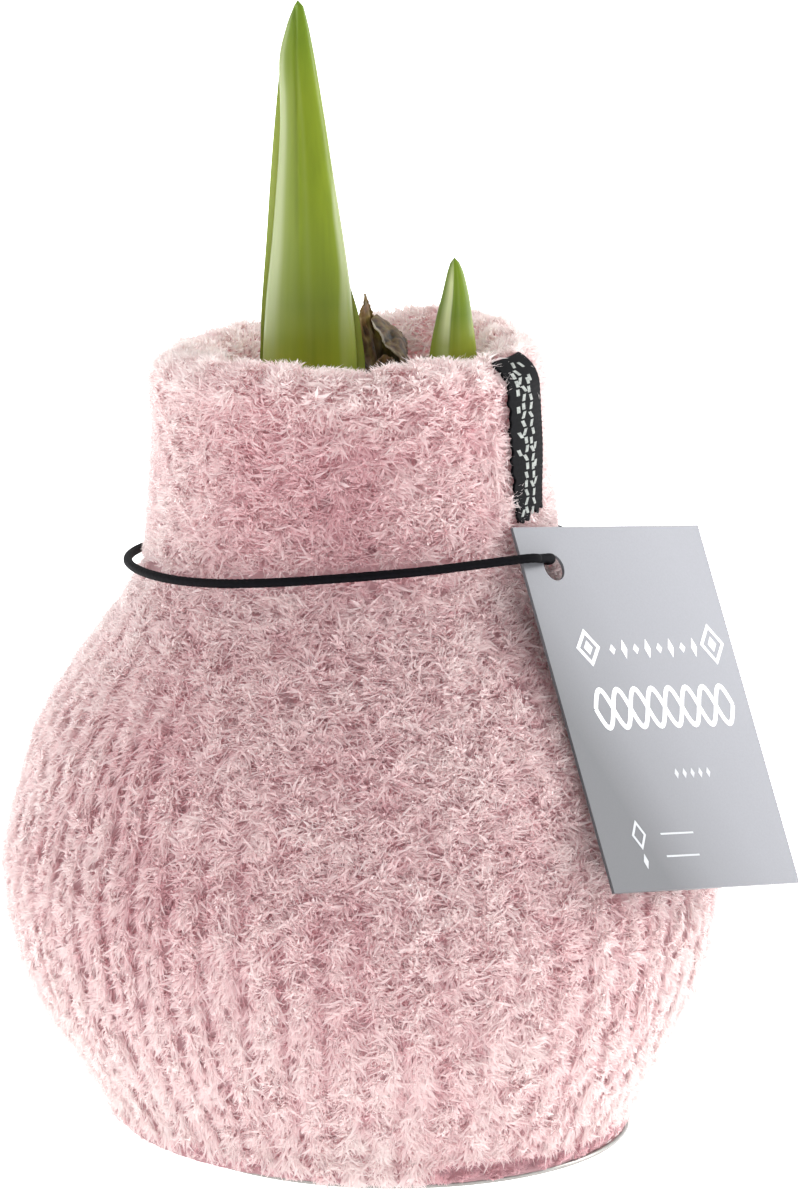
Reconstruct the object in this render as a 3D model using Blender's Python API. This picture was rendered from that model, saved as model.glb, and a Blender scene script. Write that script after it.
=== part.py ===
"""Amaryllis bulb in a fluffy knitted sleeve, with two green shoots, a cord, a swing tag and a wire foot.

Blender 4.5, metres, +Z up. The origin is the middle of the wire foot, on the surface that it stands on.
The front of the object faces -Y. An azimuth is measured from -Y towards +X.
"""
import math

import bpy
from mathutils import Matrix, Vector

MM = 0.001

# Fit between neighbours
GAP = 0.35 * MM

# Body: the sleeve's outline as radius at height, without the pile tips
SLEEVE_OUTLINE = [
    (5.6, 39.2), (12.0, 43.6), (22.0, 48.9), (32.0, 51.8), (42.0, 52.5), (52.0, 50.2), (62.0, 46.4),
    (72.0, 40.0), (80.0, 33.9), (86.0, 30.9), (94.0, 29.5), (104.0, 28.8), (113.3, 28.5),
]
BODY_SHIFT_X = 1.9 * MM
BODY_LEAN = -0.028

# Rolled collar at the top of the sleeve
ROLL_RADIUS = 4.6 * MM
ROLL_CENTRE_RADIUS = 23.9 * MM
ROLL_CENTRE_HEIGHT = 113.3 * MM
MOUTH_SHIFT_X = 0.8 * MM
MOUTH_SHIFT_FROM = 98.0 * MM
MOUTH_SHIFT_TO = 110.0 * MM
COLLAR_TURN_ROWS = [110.5, 107.5, 104.5, 101.5, 98.5]
COLLAR_TURN_HEIGHT = 7.0 * MM

# Hem of the sleeve
HEM_HEIGHT = 3.0 * MM
HEM_CORNER_LIFT = 0.1 * MM
HEM_INNER_LIFT = 0.9 * MM
HEM_TILT = 1.05 * MM
HEM_TILT_FADES_AT = 26.0 * MM
HEM_INNER_RADIUS = 34.6 * MM
HEM_MIDDLE_RADIUS = 35.9 * MM
HEM_CORNER_RADIUS = 38.2 * MM
HEM_LOOSENESS = 1.5 * MM
HEM_LOOSE_BELOW = 9.0 * MM

# Knit relief
WALES = 56
WALE_RELIEF = 0.017
STITCH_RELIEF = 0.007
RELIEF_FULL_FROM = 0.06
RELIEF_FADES_FROM = 0.86
RELIEF_GONE_AT = 0.94
OUTER_ROWS = 31
LINING_COLUMNS = WALES

# Bulb: radius at height, from its base plate to its shoulder
BULB_OUTLINE = [
    (2.1, 24.0), (4.0, 28.5), (9.0, 34.4), (17.0, 40.4), (27.0, 43.8), (37.0, 44.6), (47.0, 43.3), (57.0, 39.8),
    (66.0, 34.2), (74.0, 28.0), (81.0, 23.9), (88.0, 21.9), (95.0, 20.6),
]
BODY_ROWS = [2.1, 4.0, 7.5, 12.5, 19.0, 27.0, 36.0, 45.0, 53.0, 60.5, 67.0, 73.0, 79.0, 85.0, 91.0, 95.5]
LINING_FROM_ROW = 2
BULB_COLUMNS = WALES
TUNIC_RIB = 0.2 * MM
TUNIC_RIBS = 16
TUNIC_RIB_FROM = 8.0 * MM
TUNIC_RIB_FULL_AT = 30.0 * MM
SHOULDER_RADIUS = 19.4 * MM
SHOULDER_HEIGHT = 98.4 * MM
SHOULDER_CREST_HEIGHT = 100.2 * MM
SHOULDER_CREST_HALF_WIDTH = 15.6 * MM
SHOULDER_CREST_HALF_DEPTH = 14.0 * MM
SHOULDER_CREST_SHIFT_X = -1.6 * MM

# Papery neck of the bulb, an oval tube
NECK_CENTRE_X = -3.2 * MM
NECK_HALF_WIDTH = 13.1 * MM
NECK_HALF_DEPTH = 10.6 * MM
NECK_WALL = 1.0 * MM
NECK_FOOT = 102.6 * MM
NECK_FLOOR = 99.0 * MM
NECK_RIM = 111.5 * MM
DRY_SCALE_TIP = 123.4 * MM
DRY_SCALE_ANGLE = math.radians(66.0)
DRY_SCALE_SPAN_BEHIND = math.radians(21.0)
DRY_SCALE_SPAN_BEFORE = math.radians(44.0)
DRY_SCALE_SHARPNESS = 1.25
RIM_WAVE = 0.9 * MM
RIM_WAVES = 5.0
RIM_NICK = 0.5 * MM
RIM_NICKS = 11.0

# Large shoot: left and right edges of its two leaves as X at height
LARGE_SHOOT_Y = -2.0 * MM
FRONT_LEAF_EDGES = [
    (99.5, -11.6, -1.6), (107.0, -13.2, -0.4), (114.5, -13.7, 0.15), (124.6, -13.4, -0.6), (133.5, -12.6, -1.75),
    (145.3, -11.7, -3.6), (154.0, -11.4, -4.95), (160.0, -11.3, -5.8), (164.6, -10.5, -6.7), (167.4, -9.2, -7.6),
]
BACK_LEAF_EDGES = [
    (99.5, -11.8, -0.8), (107.0, -13.4, 0.8), (114.5, -14.0, 1.3), (118.6, -13.9, 0.9), (122.6, -13.8, 0.3),
    (127.6, -13.5, -1.1), (133.5, -13.1, -2.1), (145.3, -12.35, -4.0), (154.0, -11.8, -5.4), (161.0, -11.1, -6.9),
]
LARGE_SHOOT_TIP = Vector((-8.4, 0.2, 168.3)) * MM
BACK_LEAF_TIP = Vector((-9.5, 1.9, 165.0)) * MM
FRONT_LEAF_DEPTH = 0.70
BACK_LEAF_DEPTH = 0.62
LEAF_BENDS_FROM = 135.0
LEAF_BENT_AT = 168.0
LEAF_ROUNDNESS = 0.8
LEAF_INNER_BULGE = 0.12
LEAF_ROWS = 18
LEAF_ROWS_CROWD = 1.35
LEAF_COLUMNS = 10

# Small shoot: left and right edges as X at height
SMALL_SHOOT_EDGES = [
    (91.5, 10.9, 17.0), (100.0, 10.75, 17.2), (108.0, 10.65, 17.5), (115.7, 10.64, 17.6), (121.9, 11.7, 16.85),
    (125.1, 12.5, 16.1), (128.4, 13.3, 15.2),
]
SMALL_SHOOT_TIP = Vector((14.25, 0.0, 130.3)) * MM
SMALL_SHOOT_DEPTH = 0.78
SMALL_SHOOT_KEEL = 0.16
SMALL_SHOOT_KEEL_FROM = 104.0
SMALL_SHOOT_KEEL_FULL_AT = 116.0
SMALL_SHOOT_SIDES = 14
SMALL_SHOOT_ROWS = 14
SMALL_SHOOT_ROWS_CROWD = 1.3
SMALL_SHOOT_SOCKET_RADIUS = 3.6 * MM
SMALL_SHOOT_SOCKET_FLOOR = 91.0 * MM
SMALL_SHOOT_SOCKET_LENGTH = 18.0 * MM
SMALL_SHOOT_X = 13.95 * MM

# Swing tag
TAG_WIDTH = 39.75 * MM
TAG_HEIGHT = 55.65 * MM
TAG_THICKNESS = 0.5 * MM
TAG_HOLE_RADIUS = 2.05 * MM
TAG_HOLE_FROM_LEFT = 6.4 * MM
TAG_HOLE_FROM_TOP = 6.2 * MM
TAG_HOLE_PLACE = Vector((28.45, -18.0, 88.4)) * MM
TAG_AZIMUTH = math.radians(49.9)
TAG_LEAN = math.radians(29.0)
TAG_ROLL = math.radians(9.6)

# Elastic cord
CORD_RADIUS = 0.8 * MM
CORD_SIDES = 8
CORD_STEP = 3.4 * MM
CORD_HEIGHT = 87.4 * MM
CORD_RISE_FRONT = 2.9 * MM
CORD_RISE_RIGHT = 1.6 * MM
CORD_CLEARANCE = 0.45 * MM
CORD_FIRST_DEGREES = 88
CORD_LAST_DEGREES = 390
CORD_DEGREES_STEP = 14
CORD_LIFT_AT_TAG = 0.5 * TAG_THICKNESS + CORD_RADIUS + GAP

# Cord at the tag, from the hole's middle: across, along and out of the card
CORD_TAG_ROUTE = [
    (-7.2 * MM, -0.3 * MM, CORD_LIFT_AT_TAG + 0.15 * MM),
    (-4.0 * MM, 0.1 * MM, CORD_LIFT_AT_TAG + 0.25 * MM),
    (-1.35 * MM, 0.0, CORD_LIFT_AT_TAG - 0.15 * MM),
    (0.0, 0.0, 0.0),
    (1.35 * MM, 0.0, 0.15 * MM - CORD_LIFT_AT_TAG),
    (4.2 * MM, 0.0, -0.45 * MM - CORD_LIFT_AT_TAG),
]

# Woven label
LABEL_FROM = math.radians(53.0)
LABEL_TO = math.radians(79.0)
LABEL_LOW = 94.6 * MM
LABEL_THICKNESS = 0.7 * MM
LABEL_FOLD = math.radians(96.0)
LABEL_BED_EDGE = math.radians(5.0)
LABEL_BED_FLAT_EDGE = math.radians(2.0)
LABEL_BED_FROM = 90.0 * MM
LABEL_BED_FULL_AT = 93.0 * MM
LABEL_COLUMNS = 8
LABEL_ROWS = 14

# Wire foot
WIRE_RADIUS = 0.8 * MM
WIRE_SIDES = 8
FOOT_RADIUS = 35.4 * MM
FOOT_TURN_SPACING = 13.7 * MM
FOOT_SHIFT_X = 4.4 * MM
FOOT_SHIFT_FROM_RADIUS = 12.0 * MM
FOOT_START = math.radians(95.0)
FOOT_TURNED = math.radians(877.0)
FOOT_EVEN_TURN = math.radians(222.0)
FOOT_RUN_IN = -3.5 * MM
FOOT_RUN_IN_HANDLE = 5.0 * MM
FOOT_STEP = 4.6 * MM
PRONG_LENGTH = 16.0 * MM
PRONG_X = 4.4 * MM
PRONG_BEND = 2.4 * MM
PRONG_HOLE_RADIUS = 1.25 * MM
PRONG_HOLE_DEPTH = 17.5 * MM


def clear_scene():
    """Remove every object that the file starts with."""
    for old in list(bpy.data.objects):
        bpy.data.objects.remove(old, do_unlink=True)


def linear(value):
    """Turn one sRGB channel from 0 to 255 into a linear value."""
    share = value / 255.0
    if share <= 0.04045:
        return share / 12.92
    return ((share + 0.055) / 1.055) ** 2.4


def make_material(name, red, green, blue, roughness, metallic=0.0):
    """Make a Principled material from an sRGB colour."""
    material = bpy.data.materials.new(name)
    material.use_nodes = True
    shader = material.node_tree.nodes["Principled BSDF"]
    shader.inputs["Base Color"].default_value = (linear(red), linear(green), linear(blue), 1.0)
    shader.inputs["Roughness"].default_value = roughness
    shader.inputs["Metallic"].default_value = metallic
    return material


def make_object(name, points, faces, material, sharp_angle=40.0):
    """Make a named, smooth shaded mesh object."""
    mesh = bpy.data.meshes.new(name)
    mesh.from_pydata([tuple(point) for point in points], [], faces)
    mesh.materials.append(material)
    mesh.shade_smooth()
    mesh.set_sharp_from_angle(angle=math.radians(sharp_angle))
    mesh.update()
    item = bpy.data.objects.new(name, mesh)
    bpy.context.scene.collection.objects.link(item)
    return item


def smooth_step(value, low, high):
    """Rise smoothly from 0 at low to 1 at high."""
    share = min(1.0, max(0.0, (value - low) / (high - low)))
    return share * share * (3.0 - 2.0 * share)


def spline_value(table, place, column=1):
    """Read a smooth curve through a table's rows at one place along its first column."""
    last = len(table) - 1
    if place <= table[0][0]:
        return table[0][column]
    if place >= table[last][0]:
        return table[last][column]
    row = 0
    while table[row + 1][0] < place:
        row += 1

    def slope(index):
        if index == 0 or index == last:
            near = max(0, index - 1)
            return (table[near + 1][column] - table[near][column]) / (table[near + 1][0] - table[near][0])
        run = table[index + 1][0] - table[index - 1][0]
        return (table[index + 1][column] - table[index - 1][column]) / run

    width = table[row + 1][0] - table[row][0]
    share = (place - table[row][0]) / width
    square = share * share
    cube = square * share
    return (
        (2 * cube - 3 * square + 1) * table[row][column]
        + (cube - 2 * square + share) * width * slope(row)
        + (3 * square - 2 * cube) * table[row + 1][column]
        + (cube - square) * width * slope(row + 1)
    )


def body_centre_x(height):
    """X of the leaning body's centre line."""
    return BODY_SHIFT_X + BODY_LEAN * height


def sleeve_radius(height):
    """Radius of the knitted face's mean surface."""
    return spline_value(SLEEVE_OUTLINE, height / MM) * MM


def bulb_radius(height):
    """Radius of the bulb's body below its shoulder."""
    return spline_value(BULB_OUTLINE, height / MM) * MM


def around_body(azimuth, radius, height, shift=0.0):
    """Point at an azimuth round the leaning centre line."""
    x = body_centre_x(height) + shift + radius * math.sin(azimuth)
    return Vector((x, -radius * math.cos(azimuth), height))


def even_points(path, count):
    """Pick evenly spaced points along a dense path."""
    lengths = [0.0]
    for before, after in zip(path, path[1:]):
        lengths.append(lengths[-1] + (after - before).length)
    picked = []
    row = 0
    for index in range(count):
        target = lengths[-1] * index / (count - 1)
        while row < len(path) - 2 and lengths[row + 1] < target:
            row += 1
        share = (target - lengths[row]) / (lengths[row + 1] - lengths[row])
        picked.append(path[row].lerp(path[row + 1], min(1.0, share)))
    return picked


def join_rings(rings, closed=False):
    """Faces between rings of equal size, each ring one row of points round a loop."""
    size = rings[0][1]
    faces = []
    pairs = list(zip(rings, rings[1:]))
    if closed:
        pairs.append((rings[-1], rings[0]))
    for (low, _), (high, _) in pairs:
        for index in range(size):
            after = (index + 1) % size
            faces.append((low + index, low + after, high + after, high + index))
    return faces


def sweep(name, path, radius, sides, material, closed=False):
    """Make a round tube along a path, with its first facet facing down."""
    points = []
    rings = []
    count = len(path)
    up = Vector((0.0, 0.0, 1.0))
    for index, place in enumerate(path):
        before = path[index - 1] if closed or index > 0 else place
        after = path[(index + 1) % count] if closed or index < count - 1 else place
        along = (after - before).normalized()
        up = (up - along * up.dot(along)).normalized()
        side = up.cross(along)
        rings.append((len(points), sides))
        for corner in range(sides):
            angle = math.tau * (corner + 0.5) / sides
            outward = side * math.sin(angle) - up * math.cos(angle)
            points.append(place + outward * radius / math.cos(math.pi / sides))
    faces = join_rings(rings, closed)
    if not closed:
        faces.append(tuple(reversed(range(sides))))
        faces.append(tuple(range(len(points) - sides, len(points))))
    return make_object(name, points, faces, material)


def closed_curve(points, step_length):
    """Closed smooth curve through points, with steps of about one length and two or more to a span."""
    curve = []
    total = len(points)
    for index in range(total):
        a, b, c, d = (points[(index + shift) % total] for shift in (-1, 0, 1, 2))
        steps = max(2, round((c - b).length / step_length))
        for step in range(steps):
            t = step / steps
            curve.append(0.5 * (2 * b + (c - a) * t + (2 * a - 5 * b + 4 * c - d) * t * t
                                + (3 * b - a - 3 * c + d) * t * t * t))
    return curve


def outer_sleeve_path():
    """Outer face of the sleeve in radius and height, from under the hem to inside the mouth."""
    path = []
    hem_middle = Vector((HEM_MIDDLE_RADIUS, HEM_HEIGHT))
    hem_corner = Vector((HEM_CORNER_RADIUS, HEM_HEIGHT + HEM_CORNER_LIFT))
    first = SLEEVE_OUTLINE[0]
    hem_side = Vector((first[1], first[0])) * MM
    for step in range(12):
        share = step / 12
        path.append(hem_middle * (1 - share) ** 2 + hem_corner * 2 * share * (1 - share) + hem_side * share ** 2)
    steps = 160
    low = SLEEVE_OUTLINE[0][0] * MM
    for step in range(steps):
        height = low + (ROLL_CENTRE_HEIGHT - low) * step / steps
        path.append(Vector((sleeve_radius(height), height)))
    for step in range(33):
        angle = math.pi * step / 32
        path.append(Vector((ROLL_CENTRE_RADIUS + ROLL_RADIUS * math.cos(angle),
                            ROLL_CENTRE_HEIGHT + ROLL_RADIUS * math.sin(angle))))
    return path


def lining_path():
    """Inner face of the sleeve, from the mouth down to the hem."""
    mouth = ROLL_CENTRE_RADIUS - ROLL_RADIUS
    turn = COLLAR_TURN_ROWS[-1] * MM
    path = []
    for millimetres in COLLAR_TURN_ROWS:
        height = millimetres * MM
        wide = bulb_radius(height) + GAP
        path.append(Vector((wide + (mouth - wide) * smooth_step(height, turn, turn + COLLAR_TURN_HEIGHT), height)))
    for millimetres in reversed(BODY_ROWS[LINING_FROM_ROW:]):
        height = millimetres * MM
        loose = HEM_LOOSENESS * (1.0 - smooth_step(height, HEM_LOOSE_BELOW, HEM_TILT_FADES_AT))
        path.append(Vector((bulb_radius(height) + GAP + loose, height)))
    path.append(Vector((HEM_INNER_RADIUS, HEM_HEIGHT + HEM_INNER_LIFT)))
    return path


def hem_drop(azimuth, height):
    """The hem hangs lower on the right than on the left, fading out up the belly."""
    fade = 1.0 - smooth_step(height, HEM_HEIGHT, HEM_TILT_FADES_AT)
    return -HEM_TILT * math.sin(azimuth) * fade


def mouth_shift(height):
    """The mouth of the collar is a little off the neck's centre."""
    return MOUTH_SHIFT_X * smooth_step(height, MOUTH_SHIFT_FROM, MOUTH_SHIFT_TO)


def label_window(azimuth):
    """1 under the woven label, 0 away from it."""
    rise = smooth_step(azimuth, LABEL_FROM - LABEL_BED_EDGE, LABEL_FROM - LABEL_BED_FLAT_EDGE)
    fall = 1.0 - smooth_step(azimuth, LABEL_TO + LABEL_BED_FLAT_EDGE, LABEL_TO + LABEL_BED_EDGE)
    return rise * fall


def knit_sleeve(material):
    """Knitted shell with raised wales outside and a plain lining inside."""
    columns = 2 * WALES
    points = []
    outer_rings = []
    outer = even_points(outer_sleeve_path(), OUTER_ROWS + 1)
    for row, place in enumerate(outer):
        radius, height = place
        share = row / OUTER_ROWS
        fade = smooth_step(share, 0.0, RELIEF_FULL_FROM)
        fade *= 1.0 - smooth_step(share, RELIEF_FADES_FROM, RELIEF_GONE_AT)
        inside = 1.0 if radius < ROLL_CENTRE_RADIUS and share > 0.5 else 0.0
        outside = smooth_step(radius, ROLL_CENTRE_RADIUS - 0.5 * ROLL_RADIUS, ROLL_CENTRE_RADIUS + ROLL_RADIUS)
        shift = mouth_shift(height) * (1.0 - outside)
        outer_rings.append((len(points), columns))
        for column in range(columns):
            azimuth = math.tau * column / columns
            wale = 1.0 if column % 2 == 0 else -1.0
            stitch = 1.0 if row % 2 == 0 else -1.0
            flat = 0.0 if inside else label_window(azimuth) * smooth_step(height, LABEL_BED_FROM, LABEL_BED_FULL_AT)
            relief = WALE_RELIEF * wale + (STITCH_RELIEF * stitch if wale > 0.0 else 0.0)
            spot = around_body(azimuth, radius * (1.0 + relief * fade * (1.0 - flat)), height, shift)
            spot.z += hem_drop(azimuth, height)
            points.append(spot)
    lining_rings = []
    for place in lining_path():
        radius, height = place
        lining_rings.append((len(points), LINING_COLUMNS))
        for column in range(LINING_COLUMNS):
            azimuth = math.tau * column / LINING_COLUMNS
            spot = around_body(azimuth, radius, height, mouth_shift(height))
            spot.z += hem_drop(azimuth, height)
            points.append(spot)
    faces = join_rings(outer_rings) + join_rings(lining_rings)
    faces += halve_columns(outer_rings[-1][0], lining_rings[0][0], LINING_COLUMNS, False)
    faces += halve_columns(outer_rings[0][0], lining_rings[-1][0], LINING_COLUMNS, True)
    return make_object("knit_sleeve", points, faces, material, 60.0)


def halve_columns(fine, coarse, count, turned):
    """Triangles from a ring of twice as many columns to a coarser one."""
    faces = []
    for index in range(count):
        left = fine + 2 * index
        middle = left + 1
        right = fine + (2 * index + 2) % (2 * count)
        low = coarse + index
        high = coarse + (index + 1) % count
        for face in ((left, middle, low), (middle, high, low), (middle, right, high)):
            faces.append(tuple(reversed(face)) if turned else face)
    return faces


def neck_rim_height(angle):
    """Height of the torn papery rim, with the long dry scale at the back right."""
    torn = RIM_WAVE * math.sin(RIM_WAVES * angle + 0.6) + RIM_NICK * math.sin(RIM_NICKS * angle)
    turn = (angle - DRY_SCALE_ANGLE + math.pi) % math.tau - math.pi
    width = DRY_SCALE_SPAN_BEHIND if turn > 0.0 else DRY_SCALE_SPAN_BEFORE
    peak = max(0.0, 1.0 - abs(turn) / width)
    return NECK_RIM + torn * (1.0 - peak) + (DRY_SCALE_TIP - NECK_RIM) * peak ** DRY_SCALE_SHARPNESS


def amaryllis_bulb(material):
    """Onion shaped bulb with a papery neck, the shoots' sockets and the prong's hole."""
    points = []
    rings = []

    def ring(height_of, radii_of):
        rings.append((len(points), BULB_COLUMNS))
        for column in range(BULB_COLUMNS):
            angle = math.tau * column / BULB_COLUMNS
            centre_x, wide, deep = radii_of(angle)
            points.append(Vector((centre_x + wide * math.cos(angle), deep * math.sin(angle), height_of(angle))))

    for millimetres in BODY_ROWS:
        height = millimetres * MM

        def body_radii(angle, height=height):
            rib = TUNIC_RIB * (1.0 - math.cos(TUNIC_RIBS * angle))
            radius = bulb_radius(height) - rib * smooth_step(height, TUNIC_RIB_FROM, TUNIC_RIB_FULL_AT)
            return body_centre_x(height), radius, radius

        ring(lambda angle, height=height: height, body_radii)
    centre = body_centre_x(SHOULDER_HEIGHT)
    crest = centre + SHOULDER_CREST_SHIFT_X
    ring(lambda angle: SHOULDER_HEIGHT, lambda angle: (centre, SHOULDER_RADIUS, SHOULDER_RADIUS))
    ring(lambda angle: SHOULDER_CREST_HEIGHT,
         lambda angle: (crest, SHOULDER_CREST_HALF_WIDTH, SHOULDER_CREST_HALF_DEPTH))

    def outer_neck(angle):
        return NECK_CENTRE_X, NECK_HALF_WIDTH, NECK_HALF_DEPTH

    def inner_neck(angle):
        return NECK_CENTRE_X, NECK_HALF_WIDTH - NECK_WALL, NECK_HALF_DEPTH - NECK_WALL

    ring(lambda angle: NECK_FOOT, outer_neck)
    ring(lambda angle: 0.5 * (NECK_FOOT + neck_rim_height(angle)), outer_neck)
    ring(neck_rim_height, outer_neck)
    ring(neck_rim_height, inner_neck)
    ring(lambda angle: 0.5 * (NECK_FLOOR + neck_rim_height(angle)), inner_neck)
    ring(lambda angle: NECK_FLOOR, inner_neck)
    faces = join_rings(rings)
    faces.append(tuple(reversed(range(BULB_COLUMNS))))
    faces.append(tuple(range(len(points) - BULB_COLUMNS, len(points))))
    bulb = make_object("amaryllis_bulb", points, faces, material, 50.0)
    cut_hole(bulb, "small_shoot_socket_cutter", Vector((SMALL_SHOOT_X, 0.0, SMALL_SHOOT_SOCKET_FLOOR)),
             SMALL_SHOOT_SOCKET_RADIUS, SMALL_SHOOT_SOCKET_LENGTH, 20)
    cut_hole(bulb, "prong_hole_cutter", Vector((PRONG_X, 0.0, -2.0 * MM)),
             PRONG_HOLE_RADIUS, PRONG_HOLE_DEPTH + 4.0 * MM, 12)
    return bulb


def cut_hole(target, name, base, radius, length, sides, turn=None):
    """Cut a plain round hole with a hidden cylinder."""
    points = []
    for height in (0.0, length):
        for index in range(sides):
            angle = math.tau * index / sides
            points.append(Vector((radius * math.cos(angle), radius * math.sin(angle), height)))
    faces = join_rings([(0, sides), (sides, sides)])
    faces.append(tuple(reversed(range(sides))))
    faces.append(tuple(range(sides, 2 * sides)))
    mesh = bpy.data.meshes.new(name)
    mesh.from_pydata([tuple(point) for point in points], [], faces)
    cutter = bpy.data.objects.new(name, mesh)
    bpy.context.scene.collection.objects.link(cutter)
    rotation = turn.to_4x4() if turn else Matrix.Identity(4)
    cutter.matrix_world = Matrix.Translation(base) @ rotation
    cutter.hide_render = True
    cutter.display_type = "WIRE"
    cut = target.modifiers.new(name, "BOOLEAN")
    cut.operation = "DIFFERENCE"
    cut.solver = "EXACT"
    cut.object = cutter


def half_leaf(name, edges, tip, depth_share, front, material):
    """One leaf of the clasped pair, round outside and flat where it meets the other leaf."""
    points = []
    rings = []
    low = edges[0][0]
    high = edges[-1][0]
    side = -1.0 if front else 1.0
    face_y = LARGE_SHOOT_Y + (0.0 if front else GAP)
    size = 2 * LEAF_COLUMNS
    for row in range(LEAF_ROWS):
        share = row / (LEAF_ROWS - 1)
        height = low + (high - low) * (1.0 - (1.0 - share) ** LEAF_ROWS_CROWD)
        left = spline_value(edges, height, 1) * MM
        right = spline_value(edges, height, 2) * MM
        middle = 0.5 * (left + right)
        half = 0.5 * (right - left)
        deep = half * depth_share
        bend = (tip.y - face_y) * smooth_step(height, LEAF_BENDS_FROM, LEAF_BENT_AT)
        rings.append((len(points), size))
        for column in range(size):
            angle = math.pi * (column % LEAF_COLUMNS) / LEAF_COLUMNS
            across = math.cos(angle)
            if column < LEAF_COLUMNS:
                bulge = side * deep * math.sin(angle) ** LEAF_ROUNDNESS
            else:
                across = -across
                bulge = side * LEAF_INNER_BULGE * deep * math.sin(angle)
            points.append(Vector((middle + half * across, face_y + bend + bulge, height * MM)))
    faces = join_rings(rings)
    top = len(points)
    points.append(tip)
    last = rings[-1][0]
    for index in range(size):
        faces.append((last + index, last + (index + 1) % size, top))
    faces.append(tuple(reversed(range(size))))
    if front:
        faces = [tuple(reversed(face)) for face in faces]
    return make_object(name, points, faces, material, 50.0)


def small_shoot(material):
    """Pointed bud with a soft keel to the front."""
    points = []
    rings = []
    low = SMALL_SHOOT_EDGES[0][0]
    high = SMALL_SHOOT_EDGES[-1][0]
    for row in range(SMALL_SHOOT_ROWS):
        share = row / (SMALL_SHOOT_ROWS - 1)
        height = low + (high - low) * (1.0 - (1.0 - share) ** SMALL_SHOOT_ROWS_CROWD)
        left = spline_value(SMALL_SHOOT_EDGES, height, 1) * MM
        right = spline_value(SMALL_SHOOT_EDGES, height, 2) * MM
        middle = 0.5 * (left + right)
        half = 0.5 * (right - left)
        keel = SMALL_SHOOT_KEEL * smooth_step(height, SMALL_SHOOT_KEEL_FROM, SMALL_SHOOT_KEEL_FULL_AT)
        rings.append((len(points), SMALL_SHOOT_SIDES))
        for column in range(SMALL_SHOOT_SIDES):
            angle = math.tau * column / SMALL_SHOOT_SIDES
            across = math.cos(angle)
            deep = math.sin(angle)
            sharp = 1.0 + keel * max(0.0, -deep) ** 6
            points.append(Vector((middle + half * across, half * SMALL_SHOOT_DEPTH * deep * sharp, height * MM)))
    faces = join_rings(rings)
    top = len(points)
    points.append(SMALL_SHOOT_TIP)
    last = rings[-1][0]
    for index in range(SMALL_SHOOT_SIDES):
        faces.append((last + index, last + (index + 1) % SMALL_SHOOT_SIDES, top))
    faces.append(tuple(reversed(range(SMALL_SHOOT_SIDES))))
    return make_object("small_shoot", points, faces, material, 60.0)


def tag_axes():
    """Directions along the tag's top edge, down its side and out of its face."""
    level = Vector((math.cos(TAG_AZIMUTH), math.sin(TAG_AZIMUTH), 0.0))
    outward = Vector((math.sin(TAG_AZIMUTH) * math.cos(TAG_LEAN), -math.cos(TAG_AZIMUTH) * math.cos(TAG_LEAN),
                      math.sin(TAG_LEAN)))
    down = outward.cross(level)
    if down.z > 0.0:
        down = -down
    across = level * math.cos(TAG_ROLL) + down * math.sin(TAG_ROLL)
    along = down * math.cos(TAG_ROLL) - level * math.sin(TAG_ROLL)
    return across, along, outward


def swing_tag(material):
    """Flat card with a punched hole near its top left corner."""
    across, along, outward = tag_axes()
    corner = TAG_HOLE_PLACE - across * TAG_HOLE_FROM_LEFT - along * TAG_HOLE_FROM_TOP
    points = []
    for side in (0.5, -0.5):
        for right, low in ((0.0, 0.0), (0.0, 1.0), (1.0, 1.0), (1.0, 0.0)):
            points.append(corner + across * TAG_WIDTH * right + along * TAG_HEIGHT * low
                          + outward * TAG_THICKNESS * side)
    faces = [(0, 1, 2, 3), (7, 6, 5, 4), (0, 4, 5, 1), (1, 5, 6, 2), (2, 6, 7, 3), (3, 7, 4, 0)]
    tag = make_object("swing_tag", points, faces, material, 30.0)
    turn = Matrix((across, -along, outward)).transposed()
    base = TAG_HOLE_PLACE - outward * 2.0 * MM
    cut_hole(tag, "tag_hole_cutter", base, TAG_HOLE_RADIUS, 4.0 * MM, 24, turn)
    return tag


def cord_spot(azimuth):
    """Centre of the cord where it lies on the sleeve."""
    height = CORD_HEIGHT + CORD_RISE_FRONT * math.cos(azimuth) + CORD_RISE_RIGHT * math.sin(azimuth)
    ridge = sleeve_radius(height) * (1.0 + WALE_RELIEF + STITCH_RELIEF)
    radius = ridge + CORD_CLEARANCE + CORD_RADIUS
    return around_body(azimuth, radius, height)


def elastic_cord(material):
    """Loop round the neck that goes through the tag's hole from the front."""
    across, along, outward = tag_axes()
    route = []
    for degrees in range(CORD_FIRST_DEGREES, CORD_LAST_DEGREES + 1, CORD_DEGREES_STEP):
        route.append(cord_spot(math.radians(degrees)))
    for right, low, out in CORD_TAG_ROUTE:
        route.append(TAG_HOLE_PLACE + across * right + along * low + outward * out)
    return sweep("elastic_cord", closed_curve(route, CORD_STEP), CORD_RADIUS, CORD_SIDES, material, True)


def label_path(offset):
    """Radius and height of the label, up the neck and over the rolled rim."""
    path = []
    for step in range(40):
        height = LABEL_LOW + (ROLL_CENTRE_HEIGHT - LABEL_LOW) * step / 40
        path.append(Vector((sleeve_radius(height) + offset, height)))
    for step in range(31):
        angle = LABEL_FOLD * step / 30
        radius = ROLL_RADIUS + offset
        path.append(Vector((ROLL_CENTRE_RADIUS + radius * math.cos(angle),
                            ROLL_CENTRE_HEIGHT + radius * math.sin(angle))))
    return path


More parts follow.
